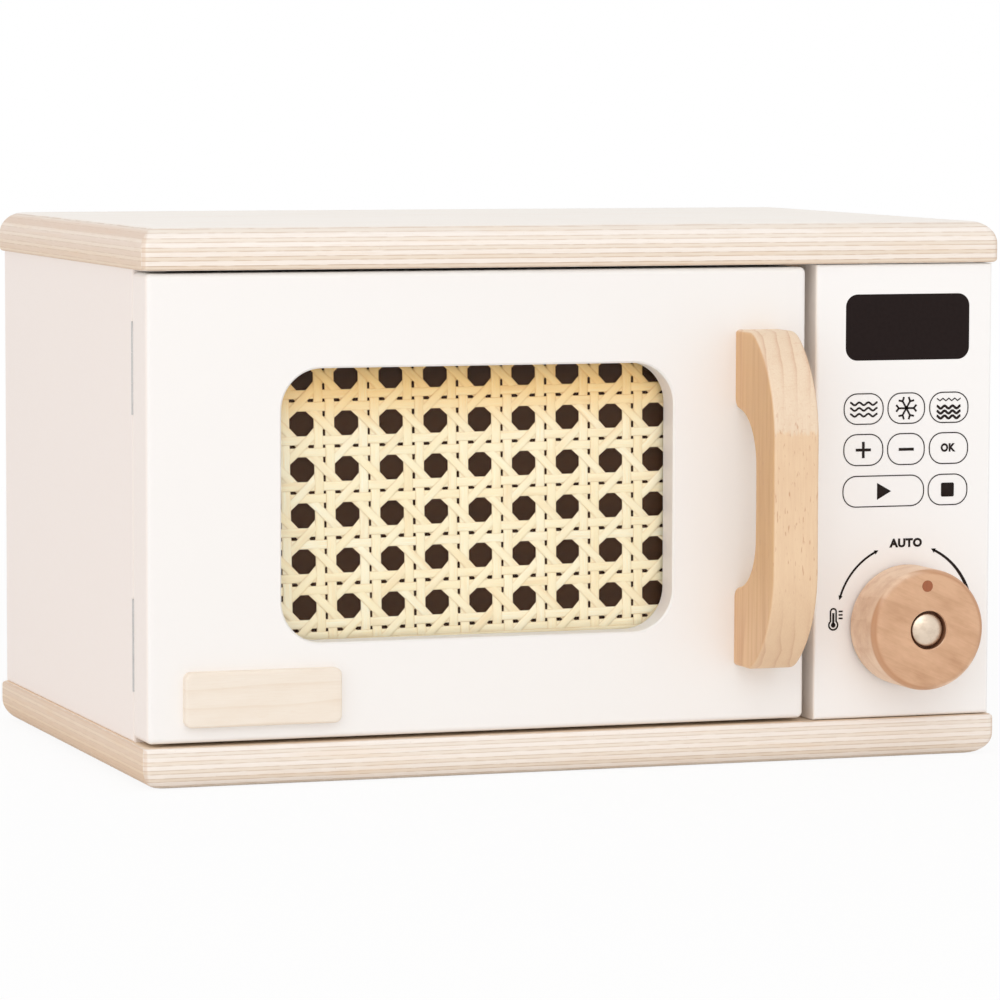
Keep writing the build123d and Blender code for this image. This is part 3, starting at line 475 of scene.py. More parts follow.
# Nodes that keep their CAD shape
carriedOver = {
    doorPaint: ["door_panel", "right_side"],
    fasciaPaint: ["control_fascia"],
    bodyPaint: ["left_side", "back_panel"],
    innerPaint: ["divider"],
    displayInk: ["display_panel"],
    darkBoard: ["window_backing"],
    acrylic: ["window_pane"],
    innerBeech: ["top_dowels", "fascia_dowels"],
    hingeSteel: ["upper_hinge_side_leaf", "lower_hinge_side_leaf", "upper_hinge_door_leaf",
                 "lower_hinge_door_leaf", "hinge_pins"],
    screwSteel: ["hinge_side_screws", "hinge_door_screws", "base_screws", "back_screws", "handle_screws",
                 "knob_back_washer", "knob_nut", "backing_screws", "strike_screw", "turntable_screw", "door_magnet"],
    nylon: ["knob_washer", "turntable_glide"],
}
for finish, names in carriedOver.items():
    for name in names:
        nodes[name].data.materials.clear()
        nodes[name].data.materials.append(finish)
        smoothOut(nodes[name], 32.0)
print("nodes dressed")

# Plywood boards
board = {"halfX": 151.8, "halfY": 100.6, "corner": 2.6, "thickness": 14.0, "round": 7.5, "arris": 1.3,
         "flatBelow": 0.8, "flatAbove": 1.0}


# The outline's inset and height, from the flat with the small arris to the one with the large round
def boardShape(underside, roundUp):
    arris, large, thickness = board["arris"], board["round"], board["thickness"]
    levels = [(arris + board["flatBelow"], 0.0), *arc((arris, arris), arris, 270, 180, 4)]
    levels += [*arc((large, thickness - large), large, 180, 90, 10), (large + board["flatAbove"], thickness)]
    rings = []
    for inset, height in levels:
        outline = roundedRectangle(board["halfX"] - inset, board["halfY"] - inset, board["corner"])
        z = underside + (height if roundUp else thickness - height)
        rings.append([(x, y, z) for x, y in outline])
    return stackRings(rings if roundUp else rings[::-1])


piece("topBoard", *boardShape(170.0, True), "cabinet", topPlywood, "plywood_painted", "top_board")
piece("baseBoard", *boardShape(0.0, False), "cabinet", basePlywood, "plywood_painted", "base_board")
print("boards made")

# Handle: a bow with an arch inside, all long edges softened
handle = {"x": 63.75, "z": 91.2, "front": -98.8, "width": 16.3, "half": 56.95, "reach": 35.0, "finger": 18.2,
          "arch": 30.25, "archRound": 18.0, "bowRound": 40.0, "shoulder": 11.0, "bowTurn": 56.0, "edge": 1.3,
          "foot": 2.2, "sections": 92,
          "joint": 115.2, "jointFray": 7.0, "middle": 90.95, "grainLean": -0.22, "ringWidth": 5.2,
          "pale": srgb(239, 208, 172), "paleTop": srgb(241, 219, 192), "paleLow": srgb(235, 203, 167),
          "side": srgb(223, 181, 134), "sideLow": srgb(230, 190, 148), "vein": srgb(210, 164, 118),
          "ray": srgb(222, 180, 142), "deep": srgb(208, 160, 124)}

# Three lengths of beech end to end, with rings where the bow cuts across them
handleBeech, tree, shader, place = startFinish("handleBeech")
where = split(tree, place)
lean = calc(tree, "MULTIPLY_ADD", where[1], handle["grainLean"], where[0])
turned = node(tree, "ShaderNodeCombineXYZ", {0: lean, 1: where[1], 2: where[2]}).outputs[0]
fromMiddle = calc(tree, "ABSOLUTE", calc(tree, "SUBTRACT", where[2], handle["middle"]))
fray = grainNoise(tree, spread(tree, turned, (1.6, 1.6, 0.3)), 1.0, 2.0)
below = calc(tree, "SUBTRACT", where[2], handle["jointFray"] / 2)
fray = calc(tree, "MULTIPLY_ADD", fray, handle["jointFray"], below)
upper = ramp(tree, fray, handle["joint"] - 1.0, handle["joint"] + 1.0)
lower = ramp(tree, where[2], handle["middle"] - 15, handle["middle"] - 45)
pale = blend(tree, lower, blend(tree, upper, handle["pale"], handle["paleTop"]), handle["paleLow"])
veins = grainNoise(tree, spread(tree, turned, (0.55, 0.55, 0.02)), 1.0, 3.0)
side = blend(tree, lower, handle["side"], handle["sideLow"])
side = blend(tree, ramp(tree, veins, 0.45, 0.65, 0.0, 0.5), side, handle["vein"])
flank = calc(tree, "ABSOLUTE", split(tree, facingOf(tree))[0])
pale = blend(tree, ramp(tree, flank, 0.5, 0.95), pale, side)
rays = grainNoise(tree, spread(tree, turned, (0.55, 0.55, 2.6)), 1.0, 2.0, 0.4)
rays = calc(tree, "MULTIPLY", ramp(tree, rays, 0.60, 0.72), ramp(tree, where[2], 104.0, 120.0, 0.0, 0.30))
dress(tree, shader, woodFigure, {
    "Place": turned, "Pale": blend(tree, rays, pale, handle["ray"]), "Deep": handle["deep"],
    "Ring Width": handle["ringWidth"], "Ring Strength": ramp(tree, fromMiddle, 28.0, 52.0, 0.04, 0.42),
    "Fleck Strength": ramp(tree, fromMiddle, 38.0, 20.0, 0.0, 0.8), "Mottle": 0.4}, 0.05, 0.3)


# The same number of points at even steps along a line
def evenly(points, count):
    lengths = [0.0]
    for a, b in zip(points, points[1:]):
        lengths.append(lengths[-1] + (Vector(b) - Vector(a)).length)
    out, k = [], 0
    for step in range(count):
        want = lengths[-1] * step / (count - 1)
        while k < len(lengths) - 2 and lengths[k + 1] < want:
            k += 1
        share = (want - lengths[k]) / (lengths[k + 1] - lengths[k])
        out.append(Vector(points[k]).lerp(Vector(points[k + 1]), min(max(share, 0), 1)))
    return out


# Upper half of each outline as (distance from the door, height from the middle)
turn, wider = math.radians(handle["bowTurn"]), handle["bowRound"] - handle["shoulder"]
bowCentre = (handle["reach"] - handle["bowRound"], handle["half"] - handle["shoulder"] - wider * math.sin(turn))
shoulderCentre = (bowCentre[0] + wider * math.cos(turn), bowCentre[1] + wider * math.sin(turn))
outerHalf = arc(bowCentre, handle["bowRound"], 0, handle["bowTurn"], 24)
outerHalf += arc(shoulderCentre, handle["shoulder"], handle["bowTurn"], 90, 10)[1:]
outerHalf += [(1.5, handle["half"]), (0, handle["half"])]
archCentre = (handle["finger"] - handle["archRound"], handle["arch"] - handle["archRound"])
innerHalf = arc(archCentre, handle["archRound"], 0, 80, 24)
innerHalf += arc((handle["foot"], handle["arch"] + handle["foot"]), handle["foot"], 255, 180, 8)
outer = [(y, -z) for y, z in outerHalf[::-1]] + outerHalf
inner = [(y, -z) for y, z in innerHalf[::-1]] + innerHalf
rings = []
for a, b in zip(evenly(inner, handle["sections"]), evenly(outer, handle["sections"])):
    across = (b - a).length
    middle, direction = (a + b) / 2, (b - a).normalized()
    ring = []
    for x, s in roundedRectangle(handle["width"] / 2, across / 2, handle["edge"], 5):
        p = middle + direction * s
        ring.append((handle["x"] + x, handle["front"] - max(p.x, 0.0), handle["z"] + p.y))
    rings.append(ring)
points, faces = stackRings(rings)
piece("handleBow", points, [f[::-1] for f in faces], "door", handleBeech, "beech", "handle")
print("handle made")

# Dial, bolt, pointer
# The rim axis, the recess tones and the dark rim tone are painted shade
dial = {"x": 118.27, "z": 46.2, "back": -99.8, "front": -119.8, "radius": 20.7, "frontRound": 3.0, "backRound": 1.0,
        "recess": 6.6, "recessDepth": 4.4, "bore": 3.08, "lip": 0.35, "dot": 2.0,
        "dotOut": 15.1, "dotTurn": 2.5, "grainTurn": 66, "rimShadeAxis": (0.82, 0.57),
        "face": (srgb(222, 178, 142), srgb(186, 138, 102)), "side": (srgb(246, 216, 188), srgb(210, 166, 132)),
        "recessShade": (srgb(150, 104, 76), srgb(110, 74, 52)), "rimShade": srgb(192, 136, 94)}
dialAxis = (dial["x"], 0, dial["z"])

# Painted shade: the rim is darker along a fixed slanting axis, most at the lower left and upper right, and the recess
# is darker
dialWood, tree, shader, place = startFinish("dialWood")
facing = split(tree, facingOf(tree))
flank = calc(tree, "ABSOLUTE", facing[1])
alongX, alongZ = (calc(tree, "MULTIPLY", facing[k], dial["rimShadeAxis"][k // 2]) for k in (0, 2))
rimShade = calc(tree, "ABSOLUTE", calc(tree, "ADD", alongX, alongZ))
rim = calc(tree, "MULTIPLY", ramp(tree, flank, 0.10, 0.45), ramp(tree, flank, 0.995, 0.80))
rim = calc(tree, "MULTIPLY", calc(tree, "MULTIPLY", rim, ramp(tree, rimShade, 0.15, 0.45)), 0.8)
fromAxis = node(tree, "ShaderNodeVectorMath", {0: place, 1: dialAxis}, operation="SUBTRACT").outputs[0]
fromAxis = lengthOf(tree, spread(tree, fromAxis, (1, 0, 1)))
depth = calc(tree, "SUBTRACT", split(tree, place)[1], dial["front"] + 0.4)
recessShade = ramp(tree, fromAxis, dial["recess"] + 0.3, dial["recess"])
recessShade = calc(tree, "MULTIPLY", recessShade, ramp(tree, depth, 0.0, 0.5))
# The pale side tone spreads over most of the rounded rim as a painted highlight
sideways = ramp(tree, flank, 0.96, 0.55)
pale, deep = (blend(tree, sideways, dial["face"][k], dial["side"][k]) for k in (0, 1))
pale = blend(tree, recessShade, blend(tree, rim, pale, dial["rimShade"]), dial["recessShade"][0])
deep = blend(tree, recessShade, deep, dial["recessShade"][1])
dress(tree, shader, woodFigure, {
    "Place": turnGrain(tree, place, (0, dial["grainTurn"], 0)), "Pale": pale, "Deep": deep, "Ring Width": 9.0,
    "Ring Strength": 0.16, "Fleck Strength": 0.12, "Mottle": 1.7}, 0.05, 0.3)

outline = softCorners([
    (dial["bore"], dial["back"], 0.2), (dial["radius"], dial["back"], dial["backRound"]),
    (dial["radius"], dial["front"], dial["frontRound"]), (dial["recess"], dial["front"], dial["lip"]),
    (dial["recess"], dial["front"] + dial["recessDepth"], 0.2),
    (dial["bore"], dial["front"] + dial["recessDepth"], 0.2)], 8)
piece("dialKnob", *turnedShape(outline, dialAxis, 96), "dial", dialWood, "dial_wood", "control_knob")

bolt = {"seat": -115.6, "head": 5.65, "skirt": 2.6, "dome": 1.5, "soft": 0.6, "shank": 3.0, "tail": -71.3,
        "tip": 0.5}
sphere = (bolt["head"] ** 2 + bolt["dome"] ** 2) / (2 * bolt["dome"])
top = bolt["seat"] - bolt["skirt"] - bolt["dome"]
outline = []
for k in range(13):
    angle = math.asin(bolt["head"] / sphere) * k / 12
    outline.append((sphere * math.sin(angle), top + sphere * (1 - math.cos(angle)), bolt["soft"] if k == 12 else 0))
outline += [(bolt["head"], bolt["seat"], 0.2), (bolt["shank"], bolt["seat"], 0),
            (bolt["shank"], bolt["tail"] - bolt["tip"], 0), (bolt["shank"] - bolt["tip"], bolt["tail"], 0),
            (0, bolt["tail"], 0)]
points, faces = turnedShape(softCorners(outline, 6), dialAxis, 64)
piece("dialBolt", points, [f[::-1] for f in faces], "cabinet", boltSteel, "bolt_steel", "knob_bolt")

lean = math.radians(dial["dotTurn"])
pointerPlace = (dial["x"] - dial["dotOut"] * math.sin(lean), 0, dial["z"] + dial["dotOut"] * math.cos(lean))
outline = [(0, -0.06), (dial["dot"] - 0.1, -0.06), (dial["dot"], 0.02), (dial["dot"], 3.0), (0, 3.0)]
points, faces = turnedShape([(r, dial["front"] + y) for r, y in outline], pointerPlace, 40)
piece("pointerPlug", points, [f[::-1] for f in faces], "dial", pointerWood, "pointer_wood", "pointer_dot")
print("dial made")

# Door plaque
plaque = {"x": -111.1, "z": 29.65, "halfX": 26.75, "halfZ": 9.15, "front": -102.3, "back": -98.8, "corner": 2.4,
          "edge": 1.0, "flat": 0.8}
edge, front = plaque["edge"], plaque["front"]
levels = [(0.0, plaque["back"]), *arc((edge, front + edge), edge, 180, 270, 6), (edge + plaque["flat"], front)]
rings = []
for inset, y in levels:
    corner = max(plaque["corner"] - inset * 0.6, 0.8)
    outline = roundedRectangle(plaque["halfX"] - inset, plaque["halfZ"] - inset, corner)
    rings.append([(plaque["x"] + x, y, plaque["z"] + z) for x, z in outline])
piece("doorPlaque", *stackRings(rings), "door", plaqueWood, "plaque_wood", "door_plaque")
print("plaque made")

# Turntable
plate = {"place": (-31.75, 6.65, 0), "bottom": 16.7, "top": 25.7, "radius": 75.0, "rim": 6.0, "dish": 2.0,
         "recess": 5.0, "recessDepth": 3.0, "bore": 2.08}
floorLevel = plate["top"] - plate["dish"]
outline = softCorners([
    (plate["bore"], plate["bottom"], 0.2), (plate["radius"], plate["bottom"], 1.2),
    (plate["radius"], plate["top"], 2.0),
    (plate["radius"] - plate["rim"], plate["top"], 1.2), (plate["radius"] - plate["rim"], floorLevel, 0.7),
    (plate["recess"], floorLevel, 0.3), (plate["recess"], floorLevel - plate["recessDepth"], 0.3),
    (plate["bore"], floorLevel - plate["recessDepth"], 0.2)], 5)
points, faces = turnedShape(outline, plate["place"], 128, "Z")
piece("turntablePlate", points, [f[::-1] for f in faces], "turntable", innerBeech, "beech", "turntable_plate")
print("turntable made")

# Woven cane
# The edge tone and the amber head tint are painted shade
cane = {"pitchX": 15.45, "pitchZ": 15.18, "firstX": -93.0, "firstZ": 57.6, "left": -111.3, "right": 40.3,
        "bottom": 39.7, "top": 144.5, "middle": -86.5, "leanX": (0.2, 0.0, -1.02, 0.67),
        "leanZ": (-0.23, 1.06, 0.43, -0.46), "leanColumns": 7, "leanRows": 4,
        "uprightWidth": 3.22, "uprightGap": 0.8, "levelWidth": 3.03, "levelGap": 1.0, "slantWidth": 2.83,
        "thick": 0.36, "clear": 0.01, "step": 1.05, "spare": 45.5, "hem": 0.2, "slantHem": 1.0, "sideHem": 1.7,
        "unevenPlace": 0.05, "unevenWidth": 0.03, "shortest": 6,
        "pale": srgb(254, 249, 224), "lined": srgb(254, 233, 188), "tinted": srgb(252, 232, 184),
        "patch": srgb(240, 208, 158), "edge": srgb(214, 170, 118),
        "headShadeTint": (1.0, 0.77, 0.45, 1), "headFrom": 112.0, "headTo": 134.0}

# Split rattan: fine lines along each strand, a tint of its own, darker edges as painted shade between strands, and
# amber towards the window's head as painted shade under its top edge
caneSkin, tree, shader, place = startFinish("caneSkin")
strand = node(tree, "ShaderNodeUVMap", uv_map="strand").outputs[0]
across = split(tree, strand)[0]
strandNumber = calc(tree, "FLOOR", across)
tint = node(tree, "ShaderNodeTexWhiteNoise", {"W": strandNumber}, noise_dimensions="1D").outputs["Value"]
lines = grainNoise(tree, spread(tree, strand, (22.0, 0.10, 1.0)), 1.0, 3.0, 0.6)
patch = grainNoise(tree, spread(tree, strand, (1.0, 0.035, 1.0)), 1.0, 2.0)
colour = blend(tree, ramp(tree, lines, 0.3, 0.75), cane["pale"], cane["lined"])
colour = blend(tree, calc(tree, "MULTIPLY", tint, 0.5), colour, cane["tinted"])
colour = blend(tree, ramp(tree, patch, 0.5, 0.8, 0.0, 0.5), colour, cane["patch"])
# Painted shade: each strand darkens towards its edges, for the shadow lines between strands
edge = calc(tree, "ABSOLUTE", calc(tree, "SUBTRACT", calc(tree, "FRACT", across), 0.5))
colour = blend(tree, ramp(tree, edge, 0.36, 0.45, 0.0, 0.55), colour, cane["edge"])
# Painted shade: warmer and darker towards the window's head, under its top edge
head = ramp(tree, split(tree, place)[2], cane["headFrom"], cane["headTo"])
colour = blend(tree, head, colour, blend(tree, 1.0, colour, cane["headShadeTint"], "MULTIPLY"))
feed(tree, shader.inputs["Base Color"], colour)
feed(tree, shader.inputs["Roughness"], ramp(tree, lines, 0.3, 0.7, 0.34, 0.5))
emboss(tree, shader, lines, 0.3, 0.04)

random.seed(7)
weave = cane["thick"] / 2 + cane["clear"]
slantWeave = cane["thick"] + cane["clear"]


# A smooth value between (position, value) keys
def eased(position, keys):
    for (a, va), (b, vb) in zip(keys, keys[1:]):
        if a <= position <= b:
            t = (position - a) / (b - a)
            return va + (vb - va) * t * t * (3 - 2 * t)
    return keys[-1][1]


# Each strand is a thin ribbon with a domed face; points are (x, z, lift towards the front)
def ribbons(name, strands, width):
    points, faces, uvs = [], [], []
    section = [(-1.0, -0.05), (-0.82, 0.36), (-0.35, 0.5), (0.35, 0.5),
               (0.82, 0.36), (1.0, -0.05), (0.7, -0.5), (-0.7, -0.5)]
    for number, line in enumerate(strands):
        broad = width * (1 + random.uniform(-cane["unevenWidth"], cane["unevenWidth"])) / 2
        start = len(points)
        along = random.uniform(0, 400)
        for k, (x, z, lift) in enumerate(line):
            a, b = line[max(k - 1, 0)], line[min(k + 1, len(line) - 1)]
            run = Vector((b[0] - a[0], b[1] - a[1])).normalized()
            if k:
                along += math.hypot(x - line[k - 1][0], z - line[k - 1][1])
            for u, h in section:
                y = cane["middle"] - lift - h * cane["thick"]
                points.append((x - run.y * u * broad, y, z + run.x * u * broad))
                uvs.append((number + 0.5 + u * 0.45, along))
        size = len(section)
        for k in range(len(line) - 1):
            for s in range(size):
                n = (s + 1) % size
                at = start + k * size
                faces.append((at + s, at + n, at + size + n, at + size + s))
        faces.append(tuple(start + s for s in range(size))[::-1])
        faces.append(tuple(start + (len(line) - 1) * size + s for s in range(size)))
    made = piece(name, points, faces, "door", caneSkin, "cane", "cane_panel", 60.0, False)
    layer = made.data.uv_layers.new(name="strand")
    for loop in made.data.loops:
        layer.data[loop.index].uv = uvs[loop.vertex_index]


# The sheet sits a little askew: leanX and leanZ give shifts in mm, everywhere, across the columns, up the rows, and
# for both together
def askew(x, z):
    i = (x - cane["firstX"]) / cane["pitchX"] / cane["leanColumns"]
    j = (z - cane["firstZ"]) / cane["pitchZ"] / cane["leanRows"]
    shiftX, shiftZ = (c[0] + c[1] * i + c[2] * j + c[3] * i * j for c in (cane["leanX"], cane["leanZ"]))
    return (min(max(x + shiftX, cane["left"] + cane["hem"]), cane["right"] - cane["hem"]),
            min(max(z + shiftZ, cane["bottom"] + cane["hem"]), cane["top"] - cane["hem"]))


def drawn(start, end, lift):
    count = max(int((Vector(end) - Vector(start)).length / cane["step"]), 2)
    line = []
    for k in range(count + 1):
        x, z = Vector(start).lerp(Vector(end), k / count)
        line.append((*askew(x, z), lift(x, z)))
    return line


uprights, levels, fallings, risings = [], [], [], []
# Where a strand goes under (-1) and over (1) within one pitch
uprightKeys = [(0, 0), (3.5, 0), (4.6, -1), (6.8, -1), (8.3, 1), (10.5, 1), (11.6, 0), (15.1, 0)]
levelKeys = [(0, 0), (3.7, 0), (4.8, -1), (7.0, -1), (8.45, 1), (10.65, 1), (11.75, 0), (15.45, 0)]
for column in range(-1, 10):
    centre = cane["firstX"] + (column + 0.5) * cane["pitchX"]
    for side in (-1, 1):
        x = centre + side * (cane["uprightWidth"] + cane["uprightGap"]) / 2
        x += random.uniform(-cane["unevenPlace"], cane["unevenPlace"])
        if not cane["left"] + cane["sideHem"] < x < cane["right"] - cane["sideHem"]:
            continue
        uprights.append(drawn((x, cane["bottom"]), (x, cane["top"]), lambda x, z, side=side:
                              -side * weave * eased((z - cane["firstZ"]) % cane["pitchZ"], uprightKeys)))
for row in range(-2, 7):
    centre = cane["firstZ"] + (row + 0.5) * cane["pitchZ"]
    for side in (-1, 1):
        z = centre + side * (cane["levelWidth"] + cane["levelGap"]) / 2
        z += random.uniform(-cane["unevenPlace"], cane["unevenPlace"])
        if not cane["bottom"] + cane["sideHem"] < z < cane["top"] - cane["sideHem"]:
            continue
        levels.append(drawn((cane["left"], z), (cane["right"], z), lambda x, z, side=side:
                            side * weave * eased((x - cane["firstX"]) % cane["pitchX"], levelKeys)))
levels.append(drawn((cane["left"], cane["spare"]), (cane["right"], cane["spare"]), lambda x, z: slantWeave))
left, right = cane["left"] + cane["slantHem"], cane["right"] - cane["slantHem"]
bottom, top = cane["bottom"] + cane["slantHem"], cane["top"] - cane["slantHem"]


# The slanting line with this number at height z, and at x
def slantX(z, number, slant):
    return cane["firstX"] + cane["pitchX"] * (number + 0.5 + slant * (z - cane["firstZ"]) / cane["pitchZ"])


def slantZ(x, number, slant):
    return cane["firstZ"] + cane["pitchZ"] * slant * ((x - cane["firstX"]) / cane["pitchX"] - number - 0.5)


def slantLift(x, slant):
    turn = math.cos(2 * math.pi * (x - cane["firstX"]) / cane["pitchX"])
    pressed = max(-1.0, min(1.0, 1.9 * turn))
    return slant * slantWeave * pressed * (1.5 - 0.5 * pressed * pressed)


for slant, store in ((-1, fallings), (1, risings)):
    for number in range(-20, 26):
        ends = [(slantX(z, number, slant), z) for z in (bottom, top) if left <= slantX(z, number, slant) <= right]
        ends += [(x, slantZ(x, number, slant)) for x in (left, right) if bottom < slantZ(x, number, slant) < top]
        if len(ends) > 1 and (Vector(ends[0]) - Vector(ends[1])).length >= cane["shortest"]:
            store.append(drawn(ends[0], ends[1], lambda x, z, slant=slant: slantLift(x, slant)))
ribbons("caneUprights", uprights, cane["uprightWidth"])
ribbons("caneLevels", levels, cane["levelWidth"])
ribbons("caneFalling", fallings, cane["slantWidth"])
ribbons("caneRising", risings, cane["slantWidth"])
print("cane woven:", len(uprights) + len(levels) + len(fallings) + len(risings), "strands")

# Printed signs on the control panel
signs = {"plane": -98.8, "proud": 0.06, "left": -150, "deck": 14,  # places are counted from left and deck
         "fine": 0.38, "line": 0.66, "heavy": 0.84, "sign": 0.98, "bold": 0.052, "letterSpace": 1.1,
         "columns": ((245.3, 259.7), (261.5, 275.1), (277.0, 291.3)),
         "rows": ((101.2, 111.6), (87.1, 97.7), (72.9, 83.4)), "corner": 4.8}
inkPoints, inkFaces = [], []


def onPanel(x, z):
    return x + signs["left"], signs["plane"] - signs["proud"], z + signs["deck"]


def inkArea(outline):
    start = len(inkPoints)
    inkPoints.extend(onPanel(x, z) for x, z in outline)
    inkFaces.append(tuple(range(start, start + len(outline))))


def inkLine(path, width, closed=False):
    width = width if isinstance(width, tuple) else (width, width)  # width at the two ends
    start, count = len(inkPoints), len(path)
    for k, (x, z) in enumerate(path):
        here = Vector((x, z))
        a = path[k - 1] if k or closed else path[k]
        b = path[(k + 1) % count] if k < count - 1 or closed else path[k]
        first = (here - Vector(a)).normalized() if a != (x, z) else (Vector(b) - here).normalized()
        second = (Vector(b) - here).normalized() if b != (x, z) else first
        along = (first + second).normalized()
        reach = (width[0] + (width[1] - width[0]) * k / max(count - 1, 1)) / 2 / max(along.dot(first), 0.5)
        for side in (1, -1):
            inkPoints.append(onPanel(x - along.y * side * reach, z + along.x * side * reach))
    for k in range(count if closed else count - 1):
        a, b = start + 2 * k, start + 2 * ((k + 1) % count)
        inkFaces.append((a, a + 1, b + 1, b))


def pill(left, right, low, high):
    path = [((left + right) / 2 + x, (low + high) / 2 + z)
            for x, z in roundedRectangle((right - left) / 2, (high - low) / 2, signs["corner"], 9)]
    inkLine(path, signs["fine"], True)


def ripple(left, right, z, height, periods, width, pointed=False):
    count = periods * (2 if pointed else 16)
    path = []
    for k in range(count + 1):
        swing = (1 if k % 2 == 0 else -1) if pointed else math.cos(2 * math.pi * periods * k / count)
        path.append((left + (right - left) * k / count, z + height * swing))
    inkLine(path, width)


for low, high in signs["rows"][:2]:
    for left, right in signs["columns"]:
        pill(left, right, low, high)
pill(245.1, 275.0, *signs["rows"][2])
pill(276.7, 291.2, *signs["rows"][2])
for z in (108.2, 106.3, 104.3):  # three waves
    ripple(247.5, 257.6, z, 0.46, 3, signs["line"])
ripple(279.7, 288.5, 109.1, 0.42, 4, signs["fine"], True)  # grill above three heavier waves
for z in (106.5, 104.8, 103.1):
    ripple(279.6, 288.5, z, 0.46, 3, signs["heavy"])
for k in range(6):  # snowflake
    c, s = math.cos(math.pi * k / 3), math.sin(math.pi * k / 3)
    spoke = [(268.3 + c * a - s * b, 106.4 + s * a + c * b)
             for a, b in ((0.0, 0), (2.75, 0), (3.75, 1.15), (3.75, -1.15))]
    for start, end in ((0, 1), (1, 2), (1, 3)):
        inkLine([spoke[start], spoke[end]], signs["line"])
# Plus with a fine gap, minus, play, stop
for start, end in (((249.7, 92.4), (255.3, 92.4)), ((252.5, 95.2), (252.5, 92.85)),
                   ((252.5, 91.95), (252.5, 89.6)), ((265.6, 92.3), (271.2, 92.3))):
    inkLine([start, end], signs["sign"])
inkArea([(257.7, 81.0), (257.7, 75.2), (262.9, 78.1)])
inkArea([(283.9 + x, 78.1 + z) for x, z in roundedRectangle(2.4, 2.4, 0.5, 4)])


def arrowHead(path, size):
    tip, before = Vector(path[-1]), Vector(path[-3])
    run = (tip - before).normalized()
    side = Vector((-run.y, run.x)) * size * 0.62
    back = tip - run * size * 0.5
    inkArea([tuple(tip + run * size * 0.7), tuple(back + side), tuple(back - side)])


leftArc = arc((268.3, 34.8), 25.05, 115.3, 163.2)
rightArc = arc((268.2, 34.7), 25.15, 2.0, 65.0, 40)
inkLine(leftArc, 0.72)
inkLine(rightArc, (1.3, 0.8))
arrowHead(leftArc, 1.25)
arrowHead(leftArc[::-1], 1.25)
arrowHead(rightArc, 1.35)
# Thermometer with three dashes
bulb = (241.9, 32.65)
tube = arc(bulb, 1.62, 130, 410, 30) + arc((bulb[0], 37.25), 1.04, 0, 180, 14)
inkLine(tube, 0.56, True)
inkArea(arc(bulb, 0.86, 0, 350, 20))
inkLine([(bulb[0], 32.9), (bulb[0], 36.8)], 0.8)
for z in (37.3, 36.1, 34.9):
    inkLine([(243.85, z), (245.35, z)], 0.54)
# Small clock at the dial's right
clock = (294.3, 33.0)
inkLine(arc(clock, 2.0, 0, 350, 30), 0.46, True)
inkLine([(clock[0], clock[1] + 1.2), clock, (clock[0] + 0.9, clock[1])], 0.42)


def thicken(made):
    depth = made.modifiers.new("inkDepth", "SOLIDIFY")
    depth.thickness = signs["proud"] * mm
    depth.offset = 0


def lettering(name, words, x, z, width, height):
    curve = bpy.data.curves.new(name, "FONT")
    curve.body = words
    curve.align_x = "CENTER"
    curve.offset = signs["bold"]
    curve.space_character = signs["letterSpace"]
    curve.resolution_u = 4
    temporary = bpy.data.objects.new(name + "Curve", curve)
    scene.collection.objects.link(temporary)
    bpy.context.view_layer.update()
    mesh = bpy.data.meshes.new_from_object(temporary.evaluated_get(bpy.context.evaluated_depsgraph_get()))
    bpy.data.objects.remove(temporary)
    xs, ys = [v.co.x for v in mesh.vertices], [v.co.y for v in mesh.vertices]
    for v in mesh.vertices:
        across = (v.co.x - (min(xs) + max(xs)) / 2) / (max(xs) - min(xs)) * width
        upward = (v.co.y - (min(ys) + max(ys)) / 2) / (max(ys) - min(ys)) * height
        v.co = [p * mm for p in onPanel(x + across, z + upward)]
    thicken(addPiece(name, mesh, "cabinet", signInk))


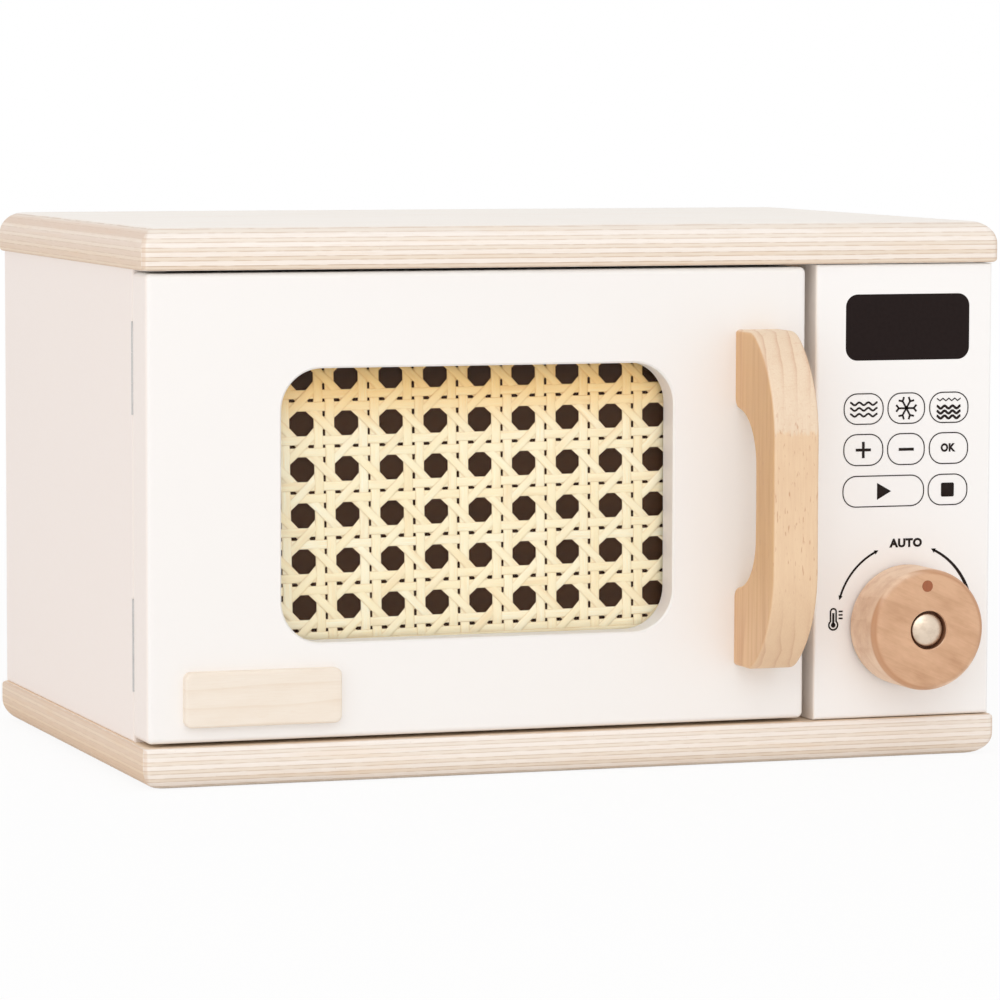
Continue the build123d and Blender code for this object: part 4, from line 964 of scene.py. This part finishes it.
thicken(piece("printedSigns", inkPoints, inkFaces, "cabinet", signInk, "display_black", None, 30.0, False))
lettering("signAuto", "AUTO", 268.5, 60.2, 12.1, 3.1)
lettering("signOk", "OK", 284.0, 92.6, 5.5, 2.95)
print("signs printed")

# Floor and surroundings
# Rays that show the white backdrop: seen directly, mirrored or through clear plastic
def seenRays(tree):
    rays = node(tree, "ShaderNodeLightPath").outputs
    direct = calc(tree, "ADD", rays["Is Camera Ray"], rays["Is Glossy Ray"])
    return calc(tree, "ADD", direct, rays["Is Transmission Ray"], clamp=True)


reach = studio["floorReach"]
floorMesh = bpy.data.meshes.new("floor")
corners = [(-reach, -reach, 0), (reach, -reach, 0), (reach, reach, 0), (-reach, reach, 0)]
floorMesh.from_pydata(corners, [], [(0, 1, 2, 3)])
floor = bpy.data.objects.new("floor", floorMesh)
scene.collection.objects.link(floor)
floorPaper, tree, shader, place = startFinish("floorPaper")
paper = blend(tree, grainNoise(tree, place, 0.01, 2.0), srgb(252, 252, 252), srgb(248, 248, 248))
feed(tree, shader.inputs["Base Color"], paper)
shader.inputs["Roughness"].default_value = 0.9
shader.inputs["Specular IOR Level"].default_value = 0.1
glow = node(tree, "ShaderNodeEmission", {"Color": (1, 1, 1, 1), "Strength": 1.0})
far = lengthOf(tree, node(tree, "ShaderNodeTexCoord").outputs["Object"])
white = calc(tree, "MULTIPLY", seenRays(tree), ramp(tree, far, *studio["floorFade"], studio["floorWhite"], 1.0))
mixed = node(tree, "ShaderNodeMixShader", {0: white, 1: shader.outputs[0], 2: glow.outputs[0]})
tree.links.new(mixed.outputs[0], tree.nodes["Material Output"].inputs["Surface"])
floorMesh.materials.append(floorPaper)

world = bpy.data.worlds.new("studio")
scene.world = world
world.use_nodes = True
tree = world.node_tree
room = tree.nodes["Background"]
room.inputs["Color"].default_value = studio["roomColour"]
room.inputs["Strength"].default_value = studio["roomLight"]
backdrop = node(tree, "ShaderNodeBackground", {"Color": (1, 1, 1, 1), "Strength": 1.0})
mixed = node(tree, "ShaderNodeMixShader", {0: seenRays(tree), 1: room.outputs[0], 2: backdrop.outputs[0]})
tree.links.new(mixed.outputs[0], tree.nodes["World Output"].inputs["Surface"])
print("studio ready")
